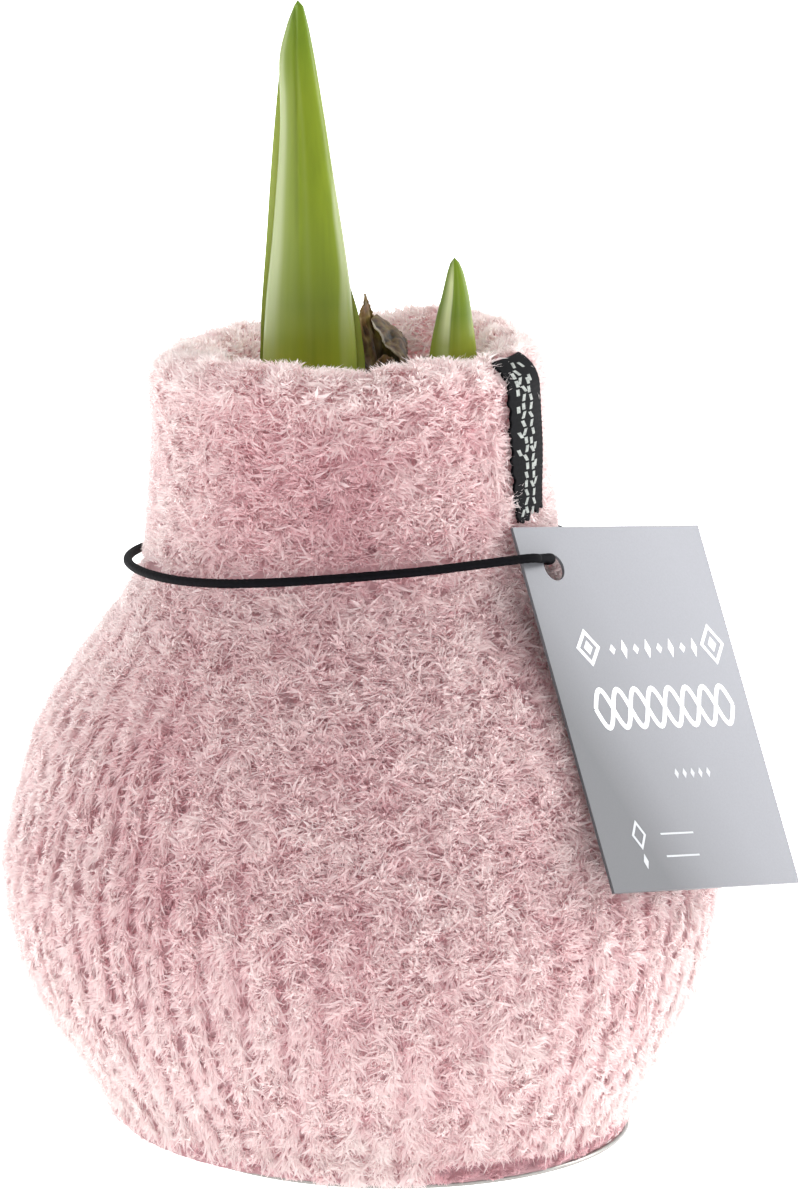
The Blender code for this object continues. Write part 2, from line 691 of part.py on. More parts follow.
def woven_label(material):
    """Woven strip that lies on the neck and folds over the rim."""
    points = []
    starts = []
    for offset in (GAP, GAP + LABEL_THICKNESS):
        starts.append(len(points))
        for place in even_points(label_path(offset), LABEL_ROWS + 1):
            radius, height = place
            for column in range(LABEL_COLUMNS + 1):
                azimuth = LABEL_FROM + (LABEL_TO - LABEL_FROM) * column / LABEL_COLUMNS
                points.append(around_body(azimuth, radius, height))
    inner, outer = starts
    wide = LABEL_COLUMNS + 1
    faces = []
    for row in range(LABEL_ROWS):
        for column in range(LABEL_COLUMNS):
            spot = row * wide + column
            faces.append((outer + spot, outer + spot + 1, outer + spot + wide + 1, outer + spot + wide))
            faces.append((inner + spot, inner + spot + wide, inner + spot + wide + 1, inner + spot + 1))
    border = list(range(wide))
    border += [row * wide + LABEL_COLUMNS for row in range(1, LABEL_ROWS + 1)]
    border += [LABEL_ROWS * wide + column for column in reversed(range(LABEL_COLUMNS))]
    border += [row * wide for row in reversed(range(1, LABEL_ROWS))]
    for index, spot in enumerate(border):
        after = border[(index + 1) % len(border)]
        faces.append((inner + spot, inner + after, outer + after, outer + spot))
    return make_object("woven_label", points, faces, material, 40.0)


def wire_foot(material):
    """Flat wire spiral that runs in through the middle and stands up beside it as a prong."""
    path = []
    steps = 700
    for step in range(steps + 1):
        turned = FOOT_TURNED * step / steps
        radius = FOOT_RADIUS - FOOT_TURN_SPACING * max(0.0, turned - FOOT_EVEN_TURN) / math.tau
        azimuth = FOOT_START - turned
        shift = FOOT_SHIFT_X * smooth_step(radius, FOOT_SHIFT_FROM_RADIUS, FOOT_RADIUS)
        path.append(Vector((shift + radius * math.sin(azimuth), -radius * math.cos(azimuth), WIRE_RADIUS)))
    leave = path[-1]
    heading = (path[-1] - path[-2]).normalized()
    arrive = Vector((FOOT_RUN_IN, 0.0, WIRE_RADIUS))
    first_handle = leave + heading * FOOT_RUN_IN_HANDLE
    last_handle = arrive - Vector((FOOT_RUN_IN_HANDLE, 0.0, 0.0))
    for step in range(1, 41):
        t = step / 40
        rest = 1.0 - t
        path.append(leave * rest ** 3 + first_handle * 3 * t * rest ** 2 + last_handle * 3 * t * t * rest
                    + arrive * t ** 3)
    length = sum((after - before).length for before, after in zip(path, path[1:]))
    route = even_points(path, round(length / FOOT_STEP))
    bend_x = PRONG_X - PRONG_BEND
    route.append(Vector((bend_x, 0.0, WIRE_RADIUS)))
    for step in range(1, 6):
        angle = 0.5 * math.pi * step / 5
        route.append(Vector((bend_x + PRONG_BEND * math.sin(angle), 0.0,
                             WIRE_RADIUS + PRONG_BEND * (1.0 - math.cos(angle)))))
    route.append(Vector((PRONG_X, 0.0, PRONG_LENGTH)))
    return sweep("wire_foot", route, WIRE_RADIUS, WIRE_SIDES, material)


def main():
    clear_scene()
    pink = make_material("sleeve_pink", 216, 178, 186, 0.95)
    tunic = make_material("bulb_brown", 118, 84, 52, 0.8)
    front_green = make_material("front_leaf_green", 132, 152, 48, 0.42)
    back_green = make_material("back_leaf_green", 122, 142, 60, 0.45)
    shoot_green = make_material("small_shoot_green", 116, 152, 40, 0.42)
    black = make_material("cord_black", 22, 21, 24, 0.7)
    label_black = make_material("label_black", 30, 30, 34, 0.75)
    card = make_material("card_silver", 184, 187, 192, 0.35, 0.6)
    wire = make_material("wire_grey", 150, 150, 146, 0.35, 0.9)
    knit_sleeve(pink)
    amaryllis_bulb(tunic)
    half_leaf("large_front_leaf", FRONT_LEAF_EDGES, LARGE_SHOOT_TIP, FRONT_LEAF_DEPTH, True, front_green)
    half_leaf("large_back_leaf", BACK_LEAF_EDGES, BACK_LEAF_TIP, BACK_LEAF_DEPTH, False, back_green)
    small_shoot(shoot_green)
    elastic_cord(black)
    woven_label(label_black)
    swing_tag(card)
    wire_foot(wire)


main()
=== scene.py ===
"""Looks of an amaryllis bulb in a fluffy knitted sleeve, laid out as a Blender add-on and run as a script.

Metres, +Z up, the front of the object faces -Y. An azimuth is measured from -Y towards +X.
Tables are in millimetres.
"""

import math

import bpy
import numpy as np
from bpy.props import FloatProperty, FloatVectorProperty, IntProperty, PointerProperty
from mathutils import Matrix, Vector


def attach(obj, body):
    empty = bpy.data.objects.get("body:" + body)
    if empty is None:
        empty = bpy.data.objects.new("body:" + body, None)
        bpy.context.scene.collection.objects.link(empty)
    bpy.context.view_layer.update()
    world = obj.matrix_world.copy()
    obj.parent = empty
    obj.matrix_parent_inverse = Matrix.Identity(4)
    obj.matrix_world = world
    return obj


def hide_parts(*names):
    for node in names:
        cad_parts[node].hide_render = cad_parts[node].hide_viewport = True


bl_info = {
    "name": "Amaryllis in a Knitted Sleeve",
    "version": (1, 0, 0),
    "blender": (4, 5, 0),
    "location": "View3D > Sidebar > Amaryllis",
    "description": "Builds an amaryllis bulb in a fluffy sleeve, with its shoots, cord, label, tag and foot",
    "category": "Object",
}

MM = 0.001
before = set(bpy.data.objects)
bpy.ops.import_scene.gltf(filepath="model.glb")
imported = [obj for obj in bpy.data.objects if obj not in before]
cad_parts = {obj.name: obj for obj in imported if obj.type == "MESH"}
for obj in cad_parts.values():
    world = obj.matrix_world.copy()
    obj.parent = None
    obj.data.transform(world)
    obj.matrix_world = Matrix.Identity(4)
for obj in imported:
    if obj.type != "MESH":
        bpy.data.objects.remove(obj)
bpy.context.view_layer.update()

# Sleeve: wales round its leaning centre line, the pile's outline as radius at height, its hem and its
# rolled rim as radius and height, and the rim's rise at an azimuth in degrees
WALES = 56
BODY_SHIFT_X = 1.9
BODY_LEAN = -0.028
PILE_OUTLINE = [
    (0.0, 34.76), (4.0, 39.23), (12.0, 44.17), (22.0, 49.63), (32.0, 52.48), (42.0, 53.24),
    (52.0, 50.68), (62.0, 47.12), (72.0, 40.71), (80.0, 34.57), (86.0, 31.35), (94.0, 30.22),
    (104.0, 29.35), (114.0, 29.19),
]
HEM_START = (36.4, 0.9)
HEM_CORNER = (39.3, -0.3)
HEM_SIDE_HEIGHT = 5.6
HEM_TILT = 1.05
HEM_TILT_FADES_AT = 26.0
ROLL_CENTRE = (23.9, 113.3)
ROLL_PILE_RADIUS = 5.3
MOUTH_DEPTH = 12.0
MOUTH_SHIFT_X = 0.8
RIM_WAVE_STARTS = 101.0
RIM_WAVE_FULL = 116.0
RIM_WAVE = [
    (-180, -0.8), (-150, -1.2), (-128, -0.9), (-108, -1.5), (-88, -0.8), (-50, 0.3), (-26, 0.8),
    (-10, 0.5), (4, 0.1), (14, 0.7), (26, 1.3), (40, 0.7), (52, 0.2), (76, 0.1), (95, 0.6),
    (124, 1.2), (145, 1.4), (158, 0.7), (172, -0.7), (180, -0.8),
]

# Pile: the place of the brushed front in degrees, lengths along the outline where the hem's lip, the shadow
# line painted under the hem's fringe and the fringe lie, and the rows of a curl and of a hair as shares of
# its length and width
PIECE_TRIANGLES = 180000
COURSE_HEIGHT = 3.2
FRONT_AZIMUTH = 2.0
FRONT_HALF_WIDTH = 13.0
LIP_FROM = 3.2
HEM_SHADOW_LINE = 3.7
LIP_TO = 3.8
HEM_FRINGE = 6.0
STITCH_LEAN = 0.30
STITCH_LENGTH = 1.1
LINING_HEIGHTS = (97.0, 94.0, 88.0, 80.0, 72.0, 64.0, 56.0, 47.0, 38.0, 29.0, 21.0, 14.0, 9.0, 5.5)
CURL_STEPS = ((0.0, 0.8), (0.6, 0.9), (1.0, 0.0))
HAIR_STEPS = ((0.0, 1.0), (1.0, 0.0))

# Tone: how pale a fibre is, and what its chance and its place add to that or take from it. The place terms
# are
# painted light and shade: paler low down, at the sides, at the hem, on the rim's top, inside the mouth and
# on the right of the front, darker on the front of the neck and in the gaps and pits between the stitches
PILE_TONE = 0.615
TONE_BY_CHANCE = 0.028
TONE_PALE_FIBRE = 0.12
TONE_LUMP = 0.22
TONE_RIM_PAINTED_LIGHT = 0.17
TONE_HEM_PAINTED_LIGHT = 0.15
TONE_LOW_PAINTED_LIGHT = 0.17
TONE_SIDES_PAINTED_LIGHT = 0.20
TONE_MOUTH_PAINTED_LIGHT = 0.2
TONE_NECK_PAINTED_SHADE = 0.17
TONE_RIGHT_FRONT_PAINTED_LIGHT = 0.07
TONE_GAP_PAINTED_SHADE = 0.34
TONE_PIT_PAINTED_SHADE = 0.30

# Bulb: outline as radius at height
BULB_OUTLINE = [
    (2.1, 24.0), (4.0, 28.5), (9.0, 34.4), (17.0, 40.4), (27.0, 43.8), (37.0, 44.6), (47.0, 43.3),
    (57.0, 39.8), (66.0, 34.2), (74.0, 28.0), (81.0, 23.9), (88.0, 21.9), (95.0, 20.6),
]
TUNIC_RIBS = 16
TUNIC_RIB = 0.2
SHOULDER_RINGS = [(98.4, 19.4, 19.4, -0.86), (99.6, 18.0, 16.8, -1.6), (100.2, 15.6, 14.0, -2.5)]
NECK_CENTRE_X = -3.2
NECK_HALF_WIDTH = 13.1
NECK_HALF_DEPTH = 10.6
NECK_FOOT = 102.6
NECK_FLOOR = 99.0
NECK_RIM = 111.5
NECK_WALL = 0.6

# Dry scales in the mouth: rows from root to tip, each a left, a middle and a right place
TALL_SCALE = [
    ((1.1, 5.6, 104.0), (4.4, 8.3, 104.0), (8.6, 7.0, 104.0)),
    ((1.1, 5.9, 111.5), (4.0, 8.5, 111.5), (7.9, 7.4, 111.5)),
    ((0.8, 6.4, 117.0), (2.8, 8.6, 116.9), (5.2, 8.5, 116.4)),
    ((0.45, 7.0, 119.9), (1.6, 8.7, 119.8), (3.3, 8.9, 119.4)),
    ((0.65, 7.6, 121.6), (1.35, 8.5, 121.7), (2.15, 8.8, 121.2)),
    ((1.0, 8.0, 122.6), (1.2, 8.4, 122.7), (1.6, 8.6, 122.5)),
    ((1.15, 8.4, 123.5), (1.17, 8.5, 123.6), (1.22, 8.5, 123.5)),
]
CURLED_SCALE = [
    ((6.3, -0.6, 104.0), (7.6, 1.6, 104.0), (7.2, 6.0, 104.0)),
    ((6.4, 0.4, 110.0), (7.7, 2.2, 110.3), (7.2, 5.4, 110.5)),
    ((6.3, 1.8, 114.6), (7.3, 3.0, 114.3), (6.9, 4.4, 114.4)),
    ((5.2, 2.8, 116.0), (6.6, 4.4, 116.3), (7.4, 6.2, 116.0)),
    ((4.1, 4.2, 116.8), (5.6, 6.2, 117.8), (6.8, 7.8, 117.2)),
    ((3.4, 5.0, 118.0), (4.6, 7.0, 118.9), (5.4, 8.4, 118.5)),
    ((2.5, 5.8, 119.2), (3.2, 7.6, 119.8), (3.7, 8.9, 119.7)),
    ((2.2, 7.4, 119.8), (2.5, 8.2, 120.1), (2.8, 8.9, 120.3)),
]
LOW_SCALE = [
    ((2.2, 1.0, 108.0), (4.2, 0.2, 108.0), (6.6, 0.8, 108.0)),
    ((2.4, 1.2, 112.6), (4.3, 0.4, 112.9), (6.3, 0.9, 112.7)),
    ((2.9, 1.4, 114.5), (4.3, 0.8, 115.0), (5.7, 1.1, 114.9)),
    ((3.8, 1.3, 115.3), (4.3, 1.0, 115.9), (4.9, 1.1, 115.6)),
]
SCALE_ROWS = 70
SCALE_COLUMNS = 34
SCALE_THICKNESS = 0.28

# Large shoot: left and right edges of its two leaves as X at height, and where pale streaks are painted on
# it as highlights
LARGE_SHOOT_Y = -2.0
LEAF_GAP = 0.35
FRONT_LEAF_EDGES = [
    (99.5, -11.6, -1.6), (107.0, -13.2, -0.4), (114.5, -13.6, 0.15), (124.6, -13.1, -0.6),
    (133.5, -12.2, -1.75), (145.3, -11.25, -3.6), (150.0, -11.0, -4.3), (154.0, -10.98, -4.95),
    (160.0, -11.06, -5.95), (164.6, -10.0, -6.85), (167.4, -8.95, -7.56),
]
BACK_LEAF_EDGES = [
    (99.5, -11.8, -0.8), (107.0, -13.4, 0.8), (114.5, -14.0, 1.3), (118.6, -13.9, 0.9),
    (122.6, -13.8, 0.3), (127.6, -13.45, -1.1), (133.5, -13.0, -2.1), (145.3, -12.2, -4.0),
    (154.0, -11.45, -5.4), (161.0, -10.75, -6.9),
]
FRONT_LEAF_TIP = (-8.4, 0.2, 168.3)
BACK_LEAF_TIP = (-9.5, 1.9, 165.0)
FRONT_LEAF_DEPTH = 0.70
BACK_LEAF_DEPTH = 0.62
LEAF_FOLD_X = -8.55
LEAF_FOLD_SLANT = 0.012
LEAF_FOLD_WIDTH = 0.30
LEAF_FOLD_DEPTH = 0.32
LEAF_BENDS_FROM = 135.0
LEAF_BENT_AT = 168.0
FRONT_PAINTED_HIGHLIGHT = [
    (0.0, 0.55), (0.05, 0.85), (0.11, 0.8), (0.18, 0.3), (0.25, 0.16), (0.34, 0.12), (0.41, 0.0),
    (0.5, 0.08), (0.56, 0.0), (0.88, 0.0), (0.93, 0.5), (0.97, 0.5), (1.0, 0.35),
]
BACK_PAINTED_HIGHLIGHT = [(0.0, 0.3), (0.5, 0.0), (0.9, 0.1), (1.0, 0.35)]
LEAF_HIGHLIGHT_FADE = [(0.0, 0.35), (0.26, 0.42), (0.36, 0.8), (0.45, 1.0), (0.8, 1.0), (0.9, 0.6), (1.0, 0.1)]
LEAF_TINTS_FROM = 100.0
LEAF_TINTS_SPAN = 68.3
LEAF_TINT_PLACES = (0.0, 0.24, 0.36, 0.52, 0.8, 1.0)
LEAF_ROWS = 90
LEAF_COLUMNS = 44

# Small shoot: left and right edges as X at height
SMALL_SHOOT_EDGES = [
    (91.5, 10.9, 17.0), (100.0, 10.75, 17.2), (108.0, 10.65, 17.5), (115.7, 10.64, 17.6),
    (121.9, 11.7, 16.85), (125.1, 12.5, 16.4), (128.4, 13.25, 15.6), (129.8, 13.68, 15.02),
]
SMALL_SHOOT_TIP = (14.3, 0.0, 130.6)
SMALL_SHOOT_DEPTH = 0.78
SMALL_TINTS_FROM = 113.5
SMALL_TINTS_SPAN = 16.8
SMALL_SHOOT_KEEL_ANGLE = math.radians(-102.0)
# painted highlight on the small shoot: pale streaks at shares of its width
SMALL_PAINTED_HIGHLIGHT = [
    (0.0, 0.1), (0.08, 0.12), (0.15, 0.4), (0.27, 0.95), (0.37, 0.9), (0.42, 0.05), (0.52, 0.0),
    (0.62, 0.05), (0.7, 0.0), (0.94, 0.0), (1.0, 0.25),
]

# Tag: its thickness, its hole and how it hangs
TAG_THICKNESS = 0.5
TAG_HOLE_FROM_LEFT = 6.4
TAG_HOLE_FROM_TOP = 6.2
TAG_HOLE_PLACE = np.array([28.45, -18.0, 88.4])
TAG_AZIMUTH = math.radians(49.9)
TAG_LEAN = math.radians(29.0)
TAG_ROLL = math.radians(9.6)

# Elastic cord: round the knitted neck, which is given as radius at height, with a sag at an azimuth in
# degrees, then through the tag's hole as places across, along and out of the card
SLEEVE_NECK = [(72.0, 40.0), (80.0, 33.9), (86.0, 30.9), (94.0, 29.5), (104.0, 28.8), (113.3, 28.5)]
CORD_RADIUS = 0.8
CORD_HEIGHT = 87.4
CORD_RISE_FRONT = 2.9
CORD_RISE_RIGHT = 1.6
CORD_SAG = 0.9
CORD_SAG_AT = -42.0
CORD_SAG_WIDTH = 34.0
CORD_DROP_RIGHT = (0.7, 0.5, 0.2)
CORD_EASE = 1.024
CORD_CLEARANCE = 0.45
CORD_DEGREES = range(88, 391, 14)
CORD_YARN_RADIUS = 0.68
CORD_STEP = 0.26
CORD_SIDES = 20
CORD_BRAID = 2.0
BLACK_GLOSS = 0.08
CORD_TAG_ROUTE = [
    (-7.2, -0.9, 1.5), (-4.0, -0.9, 1.5), (-1.3, -1.15, 1.1), (0.0, -1.25, 0.0),
    (0.6, -1.6, -1.3), (2.6, -2.6, -1.9),
]

# Woven label: from its low end up the neck and over the roll, its flat length, and each
# column of stitches as a share of the width with the chance that a stitch is missing
LABEL_FROM = math.radians(53.6)
LABEL_TO = math.radians(73.5)
LABEL_LOW = 94.9
LABEL_OFFSET = 0.12
LABEL_THICKNESS = 0.5
LABEL_FOLD = math.radians(74.0)
THREAD_COLUMNS = ((0.20, 0.65), (0.36, 0.05), (0.58, 0.08), (0.64, 0.6))
THREAD_STEP = 1.25
THREAD_HALF_WIDTH = 0.045
WEAVE_DEPTH = 0.035
WEAVE_COLUMNS = 17.0
WEAVE_ROW = 0.8
ROLL_RADIUS = 4.6
LABEL_LENGTH = ROLL_CENTRE[1] - LABEL_LOW + (ROLL_RADIUS + LABEL_OFFSET) * LABEL_FOLD

# Wire foot: a flat spiral whose inner end stands up as a prong
WIRE_RADIUS = 0.42
FOOT_RADIUS = 34.5
FOOT_TURN_SPACING = 13.7
FOOT_SHIFT_X = 5.6
FOOT_START = math.radians(95.0)
FOOT_TURNED = math.radians(877.0)
FOOT_EVEN_TURN = math.radians(222.0)
FOOT_RUN_IN = -3.5
FOOT_RUN_IN_HANDLE = 5.0
PRONG_LENGTH = 16.0
PRONG_X = 4.4
PRONG_BEND = 2.4
FOOT_SHIFT_FROM_RADIUS = 12.0
FOOT_STEP = 0.7
WIRE_SIDES = 16

# Stage: each light's name, place, aim, size and watts, and how bright the floor and the sky are
LIGHTS = (
    ("left_softbox", (-0.85, -0.05, 0.42), (0.0, 0.0, 0.12), (0.4, 0.8), 3.5),
    ("right_softbox", (0.85, 0.16, 0.42), (0.0, 0.0, 0.12), (0.4, 0.8), 7.6),
    ("overhead", (0.0, 0.15, 0.95), (0.0, 0.0, 0.05), (0.8, 0.8), 2.4),
)
FLOOR_REACH = 4000
FLOOR_GLOW = 1.25
SKY_HEADING = (0.4, 0.95, 0.0)
SKY_RANGE = {"From Min": -0.6, "From Max": 0.9, "To Min": 0.78, "To Max": 1.05}
WHITE = (1.0, 1.0, 1.0, 1.0)


def linear(value):
    """Turn one sRGB channel from 0 to 255 into a linear value."""
    share = value / 255.0
    if share <= 0.04045:
        return share / 12.92
    return ((share + 0.055) / 1.055) ** 2.4


def colour(red, green, blue):
    """Linear colour from an sRGB one, without alpha."""
    return (linear(red), linear(green), linear(blue))


def smooth_step(value, low, high):
    """Rise smoothly from 0 at low to 1 at high, for a number or an array."""
    share = np.clip((value - low) / (high - low), 0.0, 1.0)
    return share * share * (3.0 - 2.0 * share)


def fall(value, low, high):
    """Fall smoothly from 1 at low to 0 at high."""
    return 1.0 - smooth_step(value, low, high)


def bump(value, centre, width, power=2):
    """Bell of height 1 round a centre, flatter on top for a higher even power."""
    return np.exp(-((value - centre) / width) ** power)


def spline(table, places, column=1):
    """Smooth curve through a table's rows, read at a number or an array of places."""
    rows = np.array(table, dtype=float)
    along = rows[:, 0]
    value = rows[:, column]
    slope = np.empty_like(value)
    slope[1:-1] = (value[2:] - value[:-2]) / (along[2:] - along[:-2])
    slope[0] = (value[1] - value[0]) / (along[1] - along[0])
    slope[-1] = (value[-1] - value[-2]) / (along[-1] - along[-2])
    places = np.clip(places, along[0], along[-1])
    low = np.clip(np.searchsorted(along, places, side="right") - 1, 0, len(along) - 2)
    width = along[low + 1] - along[low]
    share = (places - along[low]) / width
    square = share * share
    cube = square * share
    return (
        (2 * cube - 3 * square + 1) * value[low]
        + (cube - 2 * square + share) * width * slope[low]
        + (3 * square - 2 * cube) * value[low + 1]
        + (cube - square) * width * slope[low + 1]
    )


def signed_degrees(azimuth):
    """Azimuth in degrees, from -180 to 180."""
    return np.degrees(np.arctan2(np.sin(azimuth), np.cos(azimuth)))


def unit(vectors):
    """Vectors of length 1."""
    length = np.linalg.norm(vectors, axis=-1, keepdims=True)
    return vectors / np.maximum(length, 1e-9)


def ripple(points, size, seed, waves=7):
    """Smooth random field from about -1 to 1 over points in millimetres, with features of about one size."""
    rng = np.random.default_rng(seed)
    total = np.zeros(len(points))
    for _ in range(waves):
        heading = unit(rng.normal(size=3)) * (math.tau / size) * rng.uniform(0.5, 1.1)
        total += np.sin(points @ heading + rng.uniform(0.0, math.tau))
    return total / math.sqrt(waves)


def new_object(name, mesh):
    """Make an object from its data and link it into the scene."""
    item = bpy.data.objects.new(name, mesh)
    bpy.context.scene.collection.objects.link(item)
    return item


def mesh_object(name, points, faces, materials, smooth=True):
    """Make a mesh piece from points in millimetres and a list of faces."""
    mesh = bpy.data.meshes.new(name)
    mesh.from_pydata((np.asarray(points, dtype=float) * MM).tolist(), [], faces)
    for material in materials:
        mesh.materials.append(material)
    if smooth:
        mesh.shade_smooth()
    mesh.update()
    return new_object(name, mesh)


def dress(piece, node_name=None):
    """Attach a piece to the one body and hide the CAD node that it stands for, where one is named."""
    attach(piece, "root")
    if node_name:
        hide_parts(node_name)


def grid_faces(rows, columns, wrap_rows=False, wrap_columns=False):
    """Quads of a grid of points, row after row."""
    row_count = rows if wrap_rows else rows - 1
    column_count = columns if wrap_columns else columns - 1
    row, column = np.meshgrid(np.arange(row_count), np.arange(column_count), indexing="ij")
    after_row = (row + 1) % rows
    after_column = (column + 1) % columns
    quads = np.stack(
        [row * columns + column, row * columns + after_column, after_row * columns + after_column,
         after_row * columns + column], axis=-1,
    )
    return quads.reshape(-1, 4)


def point_attribute(mesh, name, values):
    """Store one number for each point of a mesh."""
    made = mesh.attributes.new(name, "FLOAT", "POINT")
    made.data.foreach_set("value", np.asarray(values, dtype=np.float32))


def body_centre_x(height):
    """X of the leaning centre line, in millimetres."""
    return BODY_SHIFT_X + BODY_LEAN * height


def plain_ring(azimuth, radius, height):
    """Points round the leaning centre line, as a round form has them."""
    x = body_centre_x(height) + radius * np.sin(azimuth)
    return np.stack([x, -radius * np.cos(azimuth), height], axis=-1)


def around_body(azimuth, radius, height, mouth=0.0):
    """Points of the pile round the leaning centre line, with the tilted hem and the waving rim."""
    x = body_centre_x(height) + mouth + radius * np.sin(azimuth)
    y = -radius * np.cos(azimuth)
    fade = fall(height, 3.0, HEM_TILT_FADES_AT)
    turn = signed_degrees(azimuth)
    wave = spline(RIM_WAVE, turn) * smooth_step(height, RIM_WAVE_STARTS, RIM_WAVE_FULL)
    z = height - HEM_TILT * np.sin(azimuth) * fade + wave
    return np.stack([x, y, z], axis=-1)


def mouth_shift(radius, height):
    """The mouth of the collar is a little off the neck's centre."""
    inside = fall(radius, ROLL_CENTRE[0] - 2.3, ROLL_CENTRE[0] + 4.6)
    return MOUTH_SHIFT_X * smooth_step(height, 98.0, 110.0) * inside


def even_path(points, step):
    """Evenly spaced points along a dense path, with the length up to each."""
    points = np.asarray(points, dtype=float)
    lengths = np.concatenate([[0.0], np.cumsum(np.linalg.norm(np.diff(points, axis=0), axis=1))])
    count = int(lengths[-1] / step) + 1
    even = np.linspace(0.0, lengths[-1], count)
    picked = [np.interp(even, lengths, points[:, axis]) for axis in range(points.shape[1])]
    return even, np.stack(picked, axis=-1)


def pile_path():
    """Length, radius and height along the pile's outline, from under the hem to inside the mouth."""
    share = np.linspace(0.0, 1.0, 20, endpoint=False)[:, None]
    side = np.array([float(spline(PILE_OUTLINE, HEM_SIDE_HEIGHT)), HEM_SIDE_HEIGHT])
    hem = np.array(HEM_START) * (1 - share) ** 2 + np.array(HEM_CORNER) * 2 * share * (1 - share)
    hem = hem + side * share ** 2
    height = np.linspace(HEM_SIDE_HEIGHT, ROLL_CENTRE[1], 300, endpoint=False)
    body = np.stack([spline(PILE_OUTLINE, height), height], axis=-1)
    turn = np.linspace(0.0, math.pi, 60, endpoint=False)
    roll = np.stack([ROLL_CENTRE[0] + ROLL_PILE_RADIUS * np.cos(turn),
                     ROLL_CENTRE[1] + ROLL_PILE_RADIUS * np.sin(turn)], axis=-1)
    down = np.linspace(0.0, MOUTH_DEPTH, 30)
    inner = np.stack([ROLL_CENTRE[0] - ROLL_PILE_RADIUS + 0.05 * down, ROLL_CENTRE[1] - down], axis=-1)
    lengths, places = even_path(np.concatenate([hem, body, roll, inner]), 0.25)
    tangent = unit(np.gradient(places, axis=0))
    return lengths, places, tangent


def outline_radius(path, length):
    """Radius of the pile's outline at a length along it."""
    return np.interp(length, path[0], path[1][:, 0])


def outline_height(path, length):
    """Height of the pile's outline at a length along it."""
    return np.interp(length, path[0], path[1][:, 1])


def pile_frame(path, azimuth, length, depth):
    """Points at a depth under the pile's outline, with their directions, radius and height."""
    lengths, _, tangents = path
    radius = outline_radius(path, length)
    height = outline_height(path, length)
    run = np.interp(length, lengths, tangents[:, 0])
    rise = np.interp(length, lengths, tangents[:, 1])
    radius_at = radius - rise * depth
    height_at = height + run * depth
    spots = around_body(azimuth, radius_at, height_at, mouth_shift(radius_at, height_at))
    sine = np.sin(azimuth)
    cosine = np.cos(azimuth)
    outward = np.stack([rise * sine, -rise * cosine, -run], axis=-1)
    upward = np.stack([run * sine, -run * cosine, rise], axis=-1)
    around = np.stack([cosine, sine, np.zeros_like(sine)], axis=-1)
    return spots, outward, upward, around, height


def root_spots(path, azimuth, length):
    """Places on the pile's outline, used to vary it smoothly."""
    return around_body(azimuth, outline_radius(path, length), outline_height(path, length))


def tint_setting(name, description, *channels):
    """Colour setting from an sRGB colour."""
    return FloatVectorProperty(
        name=name, description=description, subtype="COLOR", size=3, default=colour(*channels),
    )


class SleeveSettings(bpy.types.PropertyGroup):
    """Sizes and colours of the fluffy knitted sleeve."""

    pile_depth: FloatProperty(
        name="Pile Depth", description="How far the fibre tips stand above the yarn", default=1.2 * MM,
        min=0.5 * MM, max=6.0 * MM, unit="LENGTH", precision=4,
    )
    curl_width: FloatProperty(
        name="Curl Width", description="Width of one curl of fibres", default=0.42 * MM,
        unit="LENGTH", precision=5,
    )
    hair_width: FloatProperty(
        name="Hair Width", description="Width of one fine hair at its root", default=0.26 * MM,
        unit="LENGTH", precision=5,
    )
    course_height: FloatProperty(
        name="Course Height", description="Height of one row of stitches",
        default=COURSE_HEIGHT * MM, unit="LENGTH", precision=4,
    )
    curls_per_square: FloatProperty(
        name="Curls per Square Millimetre", description="Curls of fibres on each square millimetre",
        default=2.0, min=0.1, max=20.0,
    )
    hairs_per_square: FloatProperty(
        name="Hairs per Square Millimetre", description="Fine hairs on each square millimetre",
        default=9.5, min=0.1, max=20.0,
    )
    seed: IntProperty(name="Seed", description="Fixes every random choice in the pile", default=11)
    # the shade colour is painted shade, used low over the yarn and in the painted gaps between the stitches
    shade_colour: tint_setting("Shade", "Colour deep between the stitches", 227, 184, 191)
    pile_colour: tint_setting("Pile", "Colour of the fibre tips", 243, 231, 230)
    light_colour: tint_setting("Light Pile", "Colour of the palest fibre tips", 247, 243, 241)


class ShootSettings(bpy.types.PropertyGroup):
    """Colours of the two shoots."""

    front_colour: tint_setting("Front Leaf", "Colour of the front leaf's middle", 107, 123, 23)
    # the back leaf's green is partly its own and partly painted light, lighter to lift the shade of the
    # front leaf over it
    back_colour: tint_setting("Back Leaf", "Colour of the back leaf's middle", 164, 178, 66)
    # lighter as painted light against the shade in the mouth
    foot_colour: tint_setting("Leaf Foot", "Colour of the leaves near the mouth", 134, 148, 38)
    tip_colour: tint_setting("Leaf Tip", "Colour of the leaves' tips", 88, 112, 20)
    small_colour: tint_setting("Small Shoot", "Colour of the small shoot", 95, 117, 17)
    # lighter as painted light against the shade in the mouth
    small_foot_colour: tint_setting("Small Shoot Foot", "Colour of the small shoot's foot", 134, 148, 46)
    # the leaves' pale streaks are painted highlights
    pale_colour: tint_setting("Pale Streaks", "Colour of the leaves' pale streaks", 158, 166, 126)
    roughness: FloatProperty(
        name="Roughness", description="How dull the leaves are", default=0.33, min=0.0, max=1.0,
    )


class BulbSettings(bpy.types.PropertyGroup):
    """Colours of the bulb's dry tunic."""

    dark_colour: tint_setting("Dark", "Darkest streaks", 40, 26, 12)
    brown_colour: tint_setting("Brown", "Main colour", 106, 78, 36)
    pale_colour: tint_setting("Pale", "Palest streaks", 138, 118, 66)
    red_colour: tint_setting("Red Brown", "Reddish patches", 106, 64, 34)
    edge_colour: tint_setting("Edge", "Curled dry edges", 176, 166, 158)


